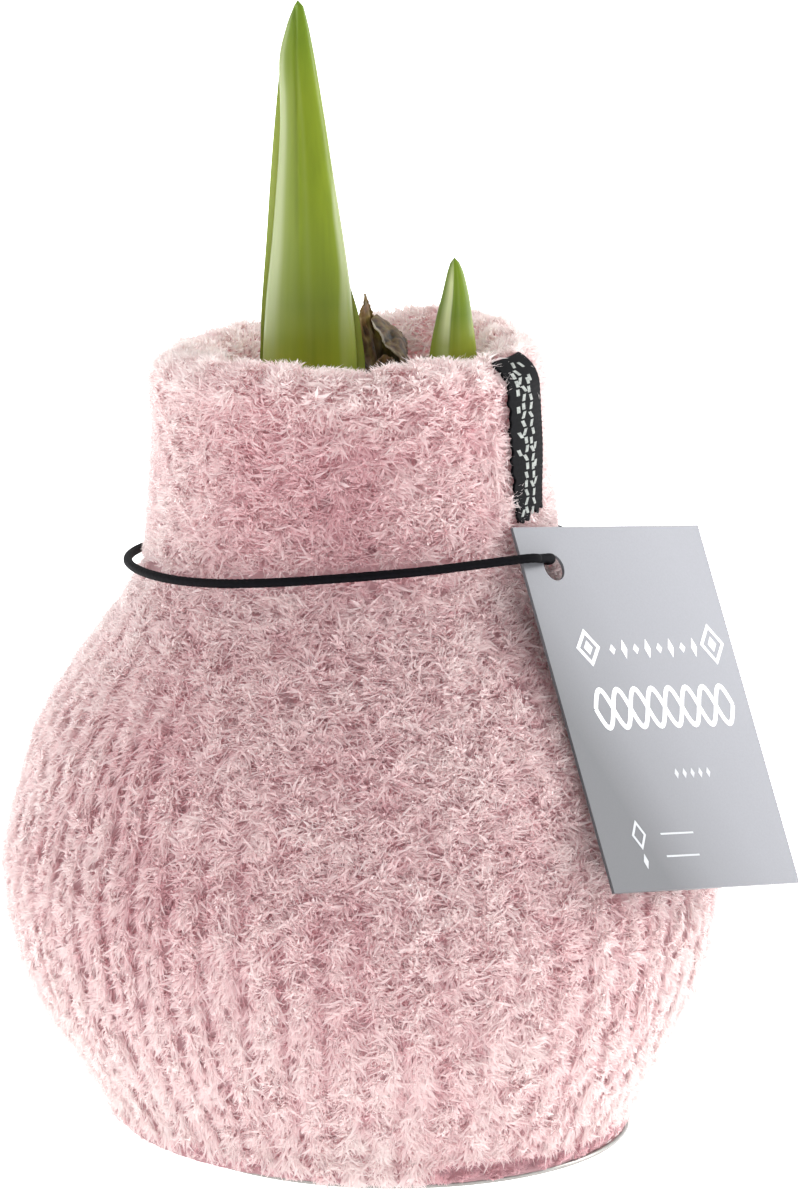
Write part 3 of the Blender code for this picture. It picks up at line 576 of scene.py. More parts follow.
class TrimSettings(bpy.types.PropertyGroup):
    """Colours of the cord, the label, the tag and the wire foot."""

    cord_colour: tint_setting("Cord", "Colour of the elastic cord", 4, 3, 7)
    label_colour: tint_setting("Label", "Colour of the woven label", 5, 5, 8)
    thread_colour: tint_setting("Thread", "Colour of the label's stitches", 136, 140, 136)
    card_colour: tint_setting("Card", "Colour of the tag's card", 115, 116, 121)
    ink_colour: tint_setting("Ink", "Colour of the tag's ornament", 236, 236, 238)
    faint_ink_colour: tint_setting("Faint Ink", "Colour of the tag's small marks", 176, 178, 182)
    wire_colour: tint_setting("Wire", "Colour of the wire foot", 150, 150, 146)


class StageSettings(bpy.types.PropertyGroup):
    """Camera, lights and floor."""

    camera_place: FloatVectorProperty(
        name="Camera", description="Where the camera stands", subtype="TRANSLATION", size=3,
        default=(0.00623, -1.2, 0.355),
    )
    camera_dip: FloatProperty(
        name="Camera Dip", description="How far the camera looks down",
        default=math.radians(12.93), subtype="ANGLE",
    )
    lens: FloatProperty(
        name="Lens", description="Focal length in millimetres", default=251.9, min=20.0, max=600.0,
    )
    floor_colour: FloatVectorProperty(
        name="Floor", description="Colour of the pale floor", subtype="COLOR", size=3,
        default=(0.92, 0.92, 0.92),
    )


def principled(name, roughness=0.8):
    """New material with a Principled shader and its node tree."""
    material = bpy.data.materials.new(name)
    material.use_nodes = True
    tree = material.node_tree
    shader = tree.nodes["Principled BSDF"]
    shader.inputs["Roughness"].default_value = roughness
    return material, tree, shader


def node(tree, kind, **values):
    """Add a node and set its plain properties."""
    made = tree.nodes.new(kind)
    for key, value in values.items():
        setattr(made, key, value)
    return made


def set_inputs(target, values):
    """Set plain values on a node's inputs by name."""
    for name, value in values.items():
        target.inputs[name].default_value = value


def attribute(tree, name):
    """Number stored on the mesh under a name."""
    return node(tree, "ShaderNodeAttribute", attribute_name=name).outputs["Fac"]


def ramp(tree, factor, stops):
    """Colour ramp through (place, colour) stops."""
    made = node(tree, "ShaderNodeValToRGB")
    elements = made.color_ramp.elements
    while len(elements) < len(stops):
        elements.new(0.5)
    for element, (place, tint) in zip(elements, stops):
        element.position = place
        element.color = (*tint, 1.0)
    tree.links.new(factor, made.inputs["Fac"])
    return made.outputs["Color"]


def grey_ramp(tree, factor, stops):
    """Ramp of grey levels through (place, level) stops."""
    return ramp(tree, factor, [(place, (level, level, level)) for place, level in stops])


def mix_colour(tree, factor, first, second, blend="MIX"):
    """Mix two colours, each a socket or a plain colour."""
    made = node(tree, "ShaderNodeMix", data_type="RGBA", blend_type=blend)
    for socket, value in ((made.inputs[0], factor), (made.inputs[6], first), (made.inputs[7], second)):
        if isinstance(value, bpy.types.NodeSocket):
            tree.links.new(value, socket)
        elif socket.type == "RGBA":
            socket.default_value = (*value, 1.0)
        else:
            socket.default_value = value
    return made.outputs[2]


def pile_material(settings):
    """Fluffy chenille: a palette from the yarn at the fibres' roots, darkened there as painted shade, to the
    pale tips, with a soft sheen.
    """
    material, tree, shader = principled("pink_pile", 0.9)
    tone = attribute(tree, "tone")
    lift = attribute(tree, "lift")
    shade = Vector(settings.shade_colour)
    pile = Vector(settings.pile_colour)
    light = Vector(settings.light_colour)
    places = (0.0, 0.3, 0.6, 1.0)
    # painted shade: points low over the yarn take the darker deep ramp, the tips the paler one, by the lift
    # attribute
    deep = ramp(tree, tone, list(zip(places, (shade * 0.6, shade, shade.lerp(pile, 0.5), pile))))
    tips = ramp(tree, tone, list(zip(places, (shade * 0.75, shade.lerp(pile, 0.45), pile, light))))
    tint = mix_colour(tree, lift, deep, tips)
    tree.links.new(tint, shader.inputs["Base Color"])
    set_inputs(shader, {
        "Sheen Weight": 0.5, "Sheen Roughness": 0.5, "Sheen Tint": (1.0, 0.97, 0.97, 1.0),
        "Specular IOR Level": 0.1,
    })
    through = node(tree, "ShaderNodeBsdfTranslucent")
    tree.links.new(tint, through.inputs["Color"])
    share = node(tree, "ShaderNodeMixShader")
    share.inputs["Fac"].default_value = 0.62
    tree.links.new(shader.outputs["BSDF"], share.inputs[1])
    tree.links.new(through.outputs["BSDF"], share.inputs[2])
    tree.links.new(share.outputs["Shader"], tree.nodes["Material Output"].inputs["Surface"])
    return material


def wale_strength(azimuth, height):
    """How clearly the wales part, from 0 where the pile is brushed over to 1 low on the belly."""
    turn = signed_degrees(azimuth)
    low = fall(height, 20.0, 60.0)
    left = fall(turn, -48.0, -18.0)
    right = smooth_step(turn, 30.0, 70.0)
    belly = fall(height, 62.0, 82.0)
    low *= 0.8 - 0.45 * smooth_step(turn, -25.0, 12.0)
    return np.clip(low + belly * np.maximum(left, 0.8 * right), 0.0, 1.0)


def pile_tone(rng, root, turn, height, lump, rim, mouth, gap, pit):
    """How pale each fibre is: by chance, and by painted light and shade for where it stands and for the dips
    between the stitches.
    """
    total = len(root)
    tone = PILE_TONE + TONE_BY_CHANCE * rng.normal(size=total)
    tone = tone + 0.05 * ripple(root, 14.0, 31) + 0.06 * ripple(root, 3.4, 32)
    # painted light: paler at the hem, where the floor lights it, and on the rim's top, where the overhead
    # lamp lights it
    hem_painted_light = TONE_HEM_PAINTED_LIGHT * fall(height, 2.0, 12.0)
    tone += TONE_PALE_FIBRE * (rng.random(total) > 0.93) + TONE_LUMP * lump + TONE_RIM_PAINTED_LIGHT * rim + hem_painted_light
    # painted light: paler low down and at the sides, where the floor and the side lamps light the belly
    low = fall(height, 10.0, 48.0)
    tone += TONE_LOW_PAINTED_LIGHT * low + TONE_SIDES_PAINTED_LIGHT * smooth_step(np.abs(turn), 35.0, 75.0)
    # painted light: paler inside the mouth, to lift its shade
    tone += TONE_MOUTH_PAINTED_LIGHT * mouth
    # painted shade: darker on the front of the neck
    neck = smooth_step(height, 84.0, 94.0) * fall(height, 107.0, 114.0)
    tone -= TONE_NECK_PAINTED_SHADE * neck * bump(turn, 0.0, 42.0)
    # painted light: paler on the right of the front, to lift the shade there
    right_front = bump(turn, 34.0, 22.0)
    tone += TONE_RIGHT_FRONT_PAINTED_LIGHT * right_front * smooth_step(height, 24.0, 40.0)
    # painted shade: darker in the gaps between the wales and the pits between the stitches, less so at the
    # sides
    soft_sides = 1.0 - 0.45 * smooth_step(np.abs(turn), 55.0, 80.0)
    tone -= (TONE_GAP_PAINTED_SHADE * gap + TONE_PIT_PAINTED_SHADE * pit) * soft_sides
    return tone


def lay_fibres(settings, density, seed, stand_low, stand_high, longest):
    """Where every fibre of the pile grows, which way it lies and how pale it is."""
    rng = np.random.default_rng(seed)
    path = pile_path()
    course_height = settings.course_height / MM
    courses = int(path[0][-1] / course_height)
    stitches = np.meshgrid(np.arange(WALES), np.arange(courses), [-1.0, 1.0], indexing="ij")
    wale, course, side = (part.ravel() for part in stitches)
    radius = outline_radius(path, (course + 0.5) * course_height)
    area = math.tau * radius / WALES * course_height * 0.5
    count = rng.poisson(density * area)
    wale, course, side = (np.repeat(part, count) for part in (wale, course, side))
    total = len(wale)
    along = rng.random(total)
    rough_azimuth = math.tau * (wale + 0.5) / WALES
    rough_length = (course + along) * course_height
    rough_height = outline_height(path, rough_length)
    rough_radius = outline_radius(path, rough_length)
    parted = wale_strength(rough_azimuth, rough_height)
    wale_width = math.tau * rough_radius / WALES
    loose = 0.05 + 0.22 * (1.0 - parted)
    across = 0.5 + side * (0.08 + STITCH_LEAN * along) + rng.normal(size=total) * loose
    length = (course + STITCH_LENGTH * along + rng.normal(size=total) * 0.08) * course_height
    length = np.clip(length, 0.0, path[0][-1])
    azimuth = math.tau * (wale + across) / WALES
    depth = settings.pile_depth / MM
    nearest = np.abs(across - np.round(across))
    gap = bump(nearest, 0.0, 0.15) * parted
    spread = root_spots(path, azimuth, length)
    between = np.abs(length / course_height + 0.3 * ripple(spread, 9.0, 41) - 0.5)
    between = np.abs(between - np.round(between))
    pit = np.exp(-(nearest / 0.2) ** 2 - (between / 0.3) ** 2)
    pit = pit * np.clip(0.75 + 0.5 * ripple(spread, 5.0, 42), 0.2, 1.2)
    lump = 0.22 * ripple(spread, 3.6, 43) * (1.0 + smooth_step(outline_height(path, length), 112.0, 117.0))
    sunk = depth + 0.75 * gap + 0.45 * pit - lump
    root, outward, upward, around, height = pile_frame(path, azimuth, length, sunk)

    leg_height = np.full(total, STITCH_LENGTH * course_height)
    leg = unit(np.stack([side * STITCH_LEAN * wale_width, leg_height], axis=-1))
    fan = rng.uniform(-1.0, 1.0, total)
    upright = 0.75 * parted
    lie_around = fan * leg[:, 1] * (1.0 - upright)
    lie_up = -fan * leg[:, 0] - upright * rng.uniform(0.2, 1.0, total)
    sway = rng.normal(size=(total, 2)) * 0.25
    lie_around += sway[:, 0] + 0.3 * ripple(root, 7.0, 21) + 0.32 * ripple(root, 3.0, 22)
    lie_up += sway[:, 1] + 0.3 * ripple(root, 7.0, 23) + 0.32 * ripple(root, 3.0, 24) - 0.06
    rim = smooth_step(rough_height, 113.0, 117.5)
    front = bump(signed_degrees(rough_azimuth), FRONT_AZIMUTH, FRONT_HALF_WIDTH, 4)
    hang = front * fall(rough_length, 1.5, 4.0)
    stand = rng.uniform(stand_low, stand_high, total) + 0.5 * rim * rng.random(total) + 0.6 * hang
    lying = lie_around[:, None] * around + lie_up[:, None] * upward
    direction = unit(stand[:, None] * outward + lying)
    rise = np.einsum("ij,ij->i", direction, outward)
    reach = np.minimum(depth / np.maximum(rise, 0.3), longest)
    reach = reach * rng.uniform(0.8, 1.15, total) * (1.0 - 0.25 * gap)
    curl = rng.normal(size=(total, 2)) * 0.6
    bend = curl[:, :1] * around + curl[:, 1:] * upward
    rise = np.clip(rise * reach / depth, 0.0, 1.0)

    turn = signed_degrees(azimuth)
    mouth = smooth_step(length, path[0][-1] - 16.0, path[0][-1] - 8.0)
    tone = pile_tone(rng, root, turn, height, lump, rim, mouth, gap, pit)
    free = 1.0 - bump(turn, FRONT_AZIMUTH, FRONT_HALF_WIDTH, 4)
    right = smooth_step(turn, 6.0, 18.0)
    rise_of_lip = 1.9 * right + 1.1 * smooth_step(-turn, 16.0, 34.0)
    lip = fall(length, LIP_FROM + rise_of_lip, LIP_TO + rise_of_lip)
    line = bump(length - HEM_SHADOW_LINE, rise_of_lip, 0.75)
    # painted shade under the hem's fringe: a dark line and a darker lip, darker still on the right
    tone -= free * (0.75 * line + lip * (0.22 + 0.55 * right))
    reach *= 1.0 - 0.7 * free * np.maximum(lip, line)
    fringe = bump(length - HEM_FRINGE, 0.85 * rise_of_lip, 0.9)
    direction = unit(direction - (0.8 * fringe * free + 1.3 * hang)[:, None] * upward)
    reach *= 1.0 + 0.2 * fringe + 0.3 * hang
    fibres = {
        "root": root, "bend": bend - outward * 0.12, "reach": reach, "outward": outward,
        "direction": direction, "rise": rise, "tone": np.clip(tone, 0.02, 0.98), "azimuth": azimuth,
    }
    kept = ~covered(azimuth, height, length, path)
    return {key: values[kept] for key, values in fibres.items()}


def covered(azimuth, height, length, path):
    """True where the label or the cord lies on the pile."""
    turn = np.arctan2(np.sin(azimuth), np.cos(azimuth))
    roll_start = np.interp(ROLL_CENTRE[1], path[1][:, 1], path[0])
    top = roll_start + ROLL_PILE_RADIUS * LABEL_FOLD
    ragged = 0.012 * np.sin(height * 1.7) + 0.010 * np.sin(height * 4.1 + 1.0)
    label = (turn > LABEL_FROM + 0.02 + ragged) & (turn < LABEL_TO - label_taper(height) + 0.01)
    label &= (length < top) & np.where(length < roll_start, height > LABEL_LOW + 0.4, True)
    free = (turn > math.radians(30.0)) & (turn < math.radians(88.0))
    cord = (np.abs(height - cord_height(azimuth)) < 0.9) & ~free
    return label | cord


def fibre_mesh(name, fibres, width, steps, material, rng):
    """Mesh of narrow tapered ribbons that face outward."""
    total = len(fibres["root"])
    facing = fibres["outward"] + rng.normal(size=(total, 3)) * 0.15
    side = unit(np.cross(fibres["direction"], facing))
    half = 0.5 * width * rng.uniform(0.75, 1.3, total)[:, None]
    rise = np.clip(fibres["rise"], 0.0, 1.0)
    rows = []
    lifts = []
    shifts = []
    for share, wide in steps:
        bow = share * share - 0.5 * share
        heading = fibres["direction"] * share + fibres["bend"] * bow
        middle = fibres["root"] + heading * fibres["reach"][:, None]
        for edge in (-1.0, 1.0) if wide > 0.0 else (0.0,):
            rows.append(middle + side * half * wide * edge)
            # lift: how high the point stands over the yarn, which the material turns into painted shade near
            # the roots
            lifts.append(rise * share ** 0.8)
            shifts.append(0.002 * edge)
    points = np.stack(rows, axis=1)
    points[:, :, 2] = np.maximum(points[:, :, 2], 0.25)
    size = points.shape[1]
    quads = len(steps) - 2
    pattern = [corner + 2 * index for index in range(quads) for corner in (0, 1, 3, 2)]
    pattern += [size - 3, size - 2, size - 1]
    starts = 4 * np.arange(quads + 1)
    first = np.arange(total)[:, None]
    corners = (first * size + np.array(pattern)).reshape(-1)
    mesh = bpy.data.meshes.new(name)
    mesh.vertices.add(total * size)
    mesh.vertices.foreach_set("co", (points.reshape(-1) * MM).astype(np.float32))
    mesh.loops.add(len(corners))
    mesh.loops.foreach_set("vertex_index", corners.astype(np.int32))
    mesh.polygons.add(total * len(starts))
    mesh.polygons.foreach_set("loop_start", (first * len(pattern) + starts).reshape(-1).astype(np.int32))
    mesh.update(calc_edges=True)
    mesh.materials.append(material)
    mesh.shade_smooth()
    tone = np.repeat(fibres["tone"], size)
    lift = np.clip(np.stack(lifts, axis=1).reshape(-1), 0.0, 1.0)
    point_attribute(mesh, "tone", tone)
    point_attribute(mesh, "lift", lift)
    palette = mesh.uv_layers.new(name="OFBake")
    spots = np.stack([tone + np.tile(shifts, total), np.clip(lift, 0.01, 0.99)], axis=-1)[corners]
    palette.data.foreach_set("uv", spots.reshape(-1).astype(np.float32))
    return new_object(name, mesh)


def sleeve_core(material, depth):
    """Yarn surface under the pile: a closed shell with raised stitches outside and a lining inside."""
    path = pile_path()
    lengths = np.arange(0.0, path[0][-1], 1.0)
    columns = WALES * 4
    azimuth = math.tau * np.arange(columns) / columns
    rows = []
    tones = []
    for length in lengths:
        stitch = 0.25 * np.cos(math.tau * azimuth * WALES / math.tau)
        stitch = stitch - 0.1 * math.cos(math.tau * length / COURSE_HEIGHT)
        places = np.full(columns, length)
        fade = float(smooth_step(length, 0.0, 4.0))
        sunk = depth * (0.45 + 0.55 * fade) + (0.7 + stitch) * fade
        rows.append(pile_frame(path, azimuth, places, sunk)[0])
        # painted shade: the yarn darker at the hem, under the fringe
        hem_shade = fall(length, 4.2, 5.2)
        tones.append(np.full(columns, 0.38 - 0.25 * hem_shade))
    start = lengths[-1]
    inner_radius = float(outline_radius(path, start)) + depth
    inner_height = float(outline_height(path, start))
    lining = [(inner_radius + 0.4, inner_height - 1.2)]
    for height in LINING_HEIGHTS:
        loose = 1.5 * float(fall(height, 9.0, 26.0))
        lining.append((float(spline(BULB_OUTLINE, height)) + 0.5 + loose, height))
    for radius, height in lining:
        shift = mouth_shift(np.full(columns, radius), np.full(columns, height))
        rows.append(around_body(azimuth, np.full(columns, radius), np.full(columns, height), shift))
        tones.append(np.full(columns, 0.25))
    points = np.concatenate(rows)
    faces = grid_faces(len(rows), columns, wrap_rows=True, wrap_columns=True)
    core = mesh_object("sleeve_yarn", points, faces.tolist(), [material])
    point_attribute(core.data, "tone", np.concatenate(tones))
    # the yarn takes a low lift, so it gets the painted shade of the roots
    point_attribute(core.data, "lift", np.full(len(points), 0.15))
    return core


class AMARYLLIS_OT_sleeve(bpy.types.Operator):
    """Build the fluffy knitted sleeve: its yarn surface and its pile"""

    bl_idname = "amaryllis.sleeve"
    bl_label = "Knitted Sleeve"

    def execute(self, context):
        settings = context.scene.amaryllis_sleeve
        material = pile_material(settings)
        core = sleeve_core(material, settings.pile_depth / MM)
        dress(core, "knit_sleeve")
        curls = lay_fibres(settings, settings.curls_per_square, settings.seed, 0.2, 0.7, 2.5)
        hairs = lay_fibres(settings, settings.hairs_per_square, settings.seed + 50, 0.3, 1.1, 2.1)
        rng = np.random.default_rng(settings.seed + 1)
        kinds = (
            ("curls", curls, settings.curl_width, CURL_STEPS, 3),
            ("hairs", hairs, settings.hair_width, HAIR_STEPS, 1),
        )
        for kind, fibres, width, steps, triangles in kinds:
            total = len(fibres["root"])
            shares = math.ceil(total * triangles / PIECE_TRIANGLES)
            order = np.argsort(fibres["azimuth"] % math.tau, kind="stable")
            for index, picked in enumerate(np.array_split(order, shares)):
                part = {key: values[picked] for key, values in fibres.items()}
                piece = fibre_mesh(f"sleeve_{kind}_{index + 1}", part, width / MM, steps, material, rng)
                dress(piece)
        return {"FINISHED"}


def catmull(rows, count, closed=False):
    """Smooth curve through rows of values, read at even steps of the row number."""
    rows = np.asarray(rows, dtype=float)
    total = len(rows)
    last = total if closed else total - 1
    place = np.linspace(0.0, last, count, endpoint=not closed)
    low = np.minimum(place.astype(int), last - 1)
    share = (place - low).reshape((-1,) + (1,) * (rows.ndim - 1))

    def row(index):
        return rows[index % total] if closed else rows[np.clip(index, 0, total - 1)]

    before, first, second, after = (row(low + step) for step in (-1, 0, 1, 2))
    return 0.5 * (
        2.0 * first + (second - before) * share
        + (2.0 * before - 5.0 * first + 4.0 * second - after) * share ** 2
        + (3.0 * first - before - 3.0 * second + after) * share ** 3
    )


def headings(path, closed):
    """Direction of a path at each of its points."""
    if closed:
        return unit(np.roll(path, -1, axis=0) - np.roll(path, 1, axis=0))
    return unit(np.gradient(path, axis=0))


def tube(name, path, radius, sides, material, closed=False, relief=None):
    """Round tube along a path; relief gives the share of the radius at an angle and a length."""
    path = np.asarray(path, dtype=float)
    tangents = headings(path, closed)
    steps = np.linalg.norm(np.diff(path, axis=0), axis=1)
    lengths = np.concatenate([[0.0], np.cumsum(steps)])
    angle = math.tau * np.arange(sides) / sides
    up = np.array([0.0, 0.0, 1.0])
    points = []
    for place, along, length in zip(path, tangents, lengths):
        if closed:
            up = np.array([0.0, 0.0, 1.0])
        up = unit(up - along * up.dot(along))
        side = np.cross(along, up)
        share = relief(angle, length) if relief else np.ones(sides)
        ring = np.cos(angle)[:, None] * side + np.sin(angle)[:, None] * up
        points.append(place + ring * (radius * share)[:, None])
    faces = grid_faces(len(path), sides, wrap_rows=closed, wrap_columns=True)[:, ::-1].tolist()
    if not closed:
        faces.append(list(range(sides)))
        faces.append(list(range((len(path) - 1) * sides, len(path) * sides))[::-1])
    return mesh_object(name, np.concatenate(points), faces, [material])


def shell(name, grid, thickness, material):
    """Thin closed shell: a grid of places and the same grid moved back along its normals."""
    grid = np.asarray(grid, dtype=float)
    rows, columns = grid.shape[:2]
    down = np.gradient(grid, axis=0)
    over = np.gradient(grid, axis=1)
    normal = unit(np.cross(over, down))
    back = grid - normal * thickness
    points = np.concatenate([grid.reshape(-1, 3), back.reshape(-1, 3)])
    face = grid_faces(rows, columns)
    faces = face[:, ::-1].tolist() + (face + rows * columns).tolist()
    border = list(range(columns))
    border += [row * columns + columns - 1 for row in range(1, rows)]
    border += [(rows - 1) * columns + column for column in reversed(range(columns - 1))]
    border += [row * columns for row in reversed(range(1, rows - 1))]
    back_start = rows * columns
    for index, spot in enumerate(border):
        after = border[(index + 1) % len(border)]
        faces.append((spot, after, back_start + after, back_start + spot))
    return mesh_object(name, points, faces, [material])


GRAIN_SOCKETS = (
    ("Scale", "INPUT", "NodeSocketFloat"), ("Detail", "INPUT", "NodeSocketFloat"),
    ("Stretch", "INPUT", "NodeSocketVector"), ("Relief", "INPUT", "NodeSocketFloat"),
    ("Distance", "INPUT", "NodeSocketFloat"), ("Tint", "INPUT", "NodeSocketColor"),
    ("Mottle", "INPUT", "NodeSocketFloat"), ("Value", "OUTPUT", "NodeSocketFloat"),
    ("Normal", "OUTPUT", "NodeSocketVector"), ("Colour", "OUTPUT", "NodeSocketColor"),
)


def grain_group():
    """Node group that every finish shares: stretched noise, its fine relief and a tint that it mottles."""
    found = bpy.data.node_groups.get("fine_grain")
    if found:
        return found
    group = bpy.data.node_groups.new("fine_grain", "ShaderNodeTree")
    for name, way, kind in GRAIN_SOCKETS:
        group.interface.new_socket(name=name, in_out=way, socket_type=kind)
    given = node(group, "NodeGroupInput").outputs
    result = node(group, "NodeGroupOutput").inputs
    turn = node(group, "ShaderNodeMapping")
    fibre = node(group, "ShaderNodeTexNoise")
    relief = node(group, "ShaderNodeBump")
    darkest = node(group, "ShaderNodeMath", operation="SUBTRACT")
    darkest.inputs[0].default_value = 1.0
    palest = node(group, "ShaderNodeMath", operation="ADD")
    palest.inputs[0].default_value = 1.0
    level = node(group, "ShaderNodeMapRange")
    set_inputs(level, {"From Min": 0.3, "From Max": 0.7})
    tinted = node(group, "ShaderNodeVectorMath", operation="SCALE")
    links = (
        (node(group, "ShaderNodeTexCoord").outputs["Object"], turn.inputs["Vector"]),
        (given["Stretch"], turn.inputs["Scale"]),
        (turn.outputs["Vector"], fibre.inputs["Vector"]),
        (given["Scale"], fibre.inputs["Scale"]),
        (given["Detail"], fibre.inputs["Detail"]),
        (fibre.outputs["Fac"], result["Value"]),
        (fibre.outputs["Fac"], relief.inputs["Height"]),
        (given["Relief"], relief.inputs["Strength"]),
        (given["Distance"], relief.inputs["Distance"]),
        (relief.outputs["Normal"], result["Normal"]),
        (given["Mottle"], darkest.inputs[1]),
        (given["Mottle"], palest.inputs[1]),
        (darkest.outputs["Value"], level.inputs["To Min"]),
        (palest.outputs["Value"], level.inputs["To Max"]),
        (fibre.outputs["Fac"], level.inputs["Value"]),
        (given["Tint"], tinted.inputs[0]),
        (level.outputs["Result"], tinted.inputs["Scale"]),
        (tinted.outputs["Vector"], result["Colour"]),
    )
    for start, end in links:
        group.links.new(start, end)
    return group


def grain(tree, scale, detail, stretch, relief=0.0, distance=0.0, tint=(1.0, 1.0, 1.0), mottle=0.0):
    """Place the shared grain in a material with its own values."""
    made = node(tree, "ShaderNodeGroup", node_tree=grain_group())
    values = (scale, detail, stretch, relief, distance, (*tint, 1.0), mottle)
    for socket, value in zip(made.inputs, values):
        socket.default_value = value
    return made.outputs


def mottled(name, tint, mottle, scale, relief, distance, roughness):
    """Finish of one tint that fine grain mottles and roughens."""
    material, tree, shader = principled(name, roughness)
    fine = grain(tree, scale, 3.0, (1.0, 1.0, 1.0), relief, distance, tint, mottle)
    tree.links.new(fine["Colour"], shader.inputs["Base Color"])
    tree.links.new(fine["Normal"], shader.inputs["Normal"])
    return material, shader


def leaf_material(name, tints, pale_colour, highlight_stops, roughness):
    """Waxy leaf: tints from foot to tip, painted highlights as pale lengthwise streaks at shares of its
    width, and fine lines.
    """
    material, tree, shader = principled(name, roughness)
    height = attribute(tree, "height")
    tint = ramp(tree, height, list(zip(LEAF_TINT_PLACES, tints)))
    lines = grain(tree, 900.0, 3.0, (1.0, 1.0, 0.03), 0.2, 0.1 * MM)
    streak_stops = [(0.3, (0.84, 0.86, 0.8)), (0.5, (1.0, 1.0, 1.0)), (0.7, (1.15, 1.13, 1.2))]
    streak = ramp(tree, lines["Value"], streak_stops)
    tint = mix_colour(tree, 0.5, tint, streak, "MULTIPLY")
    # painted highlight: pale streaks where the side lamps reflect, faded along the height
    across = grey_ramp(tree, attribute(tree, "side"), highlight_stops)
    along = grey_ramp(tree, height, LEAF_HIGHLIGHT_FADE)
    highlight_mask = mix_colour(tree, 1.0, across, along, "MULTIPLY")
    tint = mix_colour(tree, highlight_mask, tint, pale_colour)
    tree.links.new(tint, shader.inputs["Base Color"])
    set_inputs(shader, {
        "Specular IOR Level": 0.22, "Subsurface Weight": 0.08, "Subsurface Radius": (0.5, 1.0, 0.2),
        "Subsurface Scale": 1.0 * MM,
    })
    tree.links.new(lines["Normal"], shader.inputs["Normal"])
    return material


def pointed_form(name, x, y, height, tip, side, rise, material, flip=False):
    """Closed pointed piece from rings of places and a tip, with the shares across and along it."""
    rows, columns = x.shape
    rings = np.stack([x, y, np.repeat(height[:, None], columns, axis=1)], axis=-1)
    faces = grid_faces(rows, columns, wrap_columns=True).tolist()
    top = rows * columns
    last = top - columns
    faces += [(last + index, last + (index + 1) % columns, top) for index in range(columns)]
    faces.append(tuple(reversed(range(columns))))
    if flip:
        faces = [tuple(reversed(face)) for face in faces]
    piece = mesh_object(name, np.concatenate([rings.reshape(-1, 3), [tip]]), faces, [material])
    point_attribute(piece.data, "side", np.append(side.reshape(-1), 0.5))
    point_attribute(piece.data, "height", np.append(np.repeat(rise, columns), 1.0))
    return piece


def leaf(name, edges, tip, depth_share, front, material):
    """One leaf of the clasped pair, round outside and nearly flat where it meets the other leaf."""
    low = edges[0][0]
    high = edges[-1][0]
    outward = -1.0 if front else 1.0
    face_y = LARGE_SHOOT_Y + (0.0 if front else LEAF_GAP)
    share = 1.0 - (1.0 - np.arange(LEAF_ROWS) / (LEAF_ROWS - 1)) ** 1.35
    height = low + (high - low) * share
    left = spline(edges, height, 1)[:, None]
    right = spline(edges, height, 2)[:, None]
    angle = math.pi * np.arange(LEAF_COLUMNS) / LEAF_COLUMNS
    half = 0.5 * (right - left)
    deep = half * depth_share
    bend = (tip[1] - face_y) * smooth_step(height, LEAF_BENDS_FROM, LEAF_BENT_AT)[:, None]
    outer_x = 0.5 * (left + right) + half * np.cos(angle)
    outer_y = face_y + bend + outward * deep * np.sin(angle) ** 0.8
    if front:
        slant = LEAF_FOLD_SLANT * (height[:, None] - 150.0)
        fold = bump(outer_x - LEAF_FOLD_X, -slant, LEAF_FOLD_WIDTH)
        outer_y += LEAF_FOLD_DEPTH * fold * smooth_step(height, 118.0, 150.0)[:, None]
    inner_x = 0.5 * (left + right) - half * np.cos(angle)
    inner_y = face_y + bend + outward * 0.12 * deep * np.sin(angle)
    x = np.concatenate([outer_x, inner_x], axis=1)
    y = np.concatenate([outer_y, inner_y], axis=1)
    side = (x - left) / (right - left)
    # moves the painted highlight on the right across the leaf with height
    inward = 0.08 * fall(height, 119.0, 131.0) - 0.14 * smooth_step(height, 136.0, 150.0)
    side = side + inward[:, None] * smooth_step(side, 0.6, 0.88)
    rise = (height - LEAF_TINTS_FROM) / LEAF_TINTS_SPAN
    return pointed_form(name, x, y, height, tip, side, rise, material, flip=front)


class AMARYLLIS_OT_large_shoot(bpy.types.Operator):
    """Build the two clasped leaves of the large shoot"""

    bl_idname = "amaryllis.large_shoot"
    bl_label = "Large Shoot"

    def execute(self, context):
        settings = context.scene.amaryllis_shoots
        # colour of the painted highlights
        light = Vector(settings.pale_colour)
        tip_tint = Vector(settings.tip_colour)
        leaves = (
            ("front", FRONT_LEAF_EDGES, FRONT_LEAF_TIP, FRONT_LEAF_DEPTH, settings.front_colour, FRONT_PAINTED_HIGHLIGHT),
            ("back", BACK_LEAF_EDGES, BACK_LEAF_TIP, BACK_LEAF_DEPTH, settings.back_colour, BACK_PAINTED_HIGHLIGHT),
        )
        for side, edges, tip, depth, tint, pale in leaves:
            front = side == "front"
            middle = Vector(tint)
            # the front leaf's foot is lighter as painted light against the shade in the mouth, with a
            # slightly darker band above it
            foot = Vector(settings.foot_colour) if front else middle
            tints = (foot, foot, middle * 0.92 if front else middle, middle, middle, tip_tint)
            material = leaf_material(f"{side}_leaf_green", tints, light, pale, settings.roughness)
            piece = leaf(f"{side}_leaf_surface", edges, tip, depth, front, material)
            dress(piece, f"large_{side}_leaf")
        return {"FINISHED"}


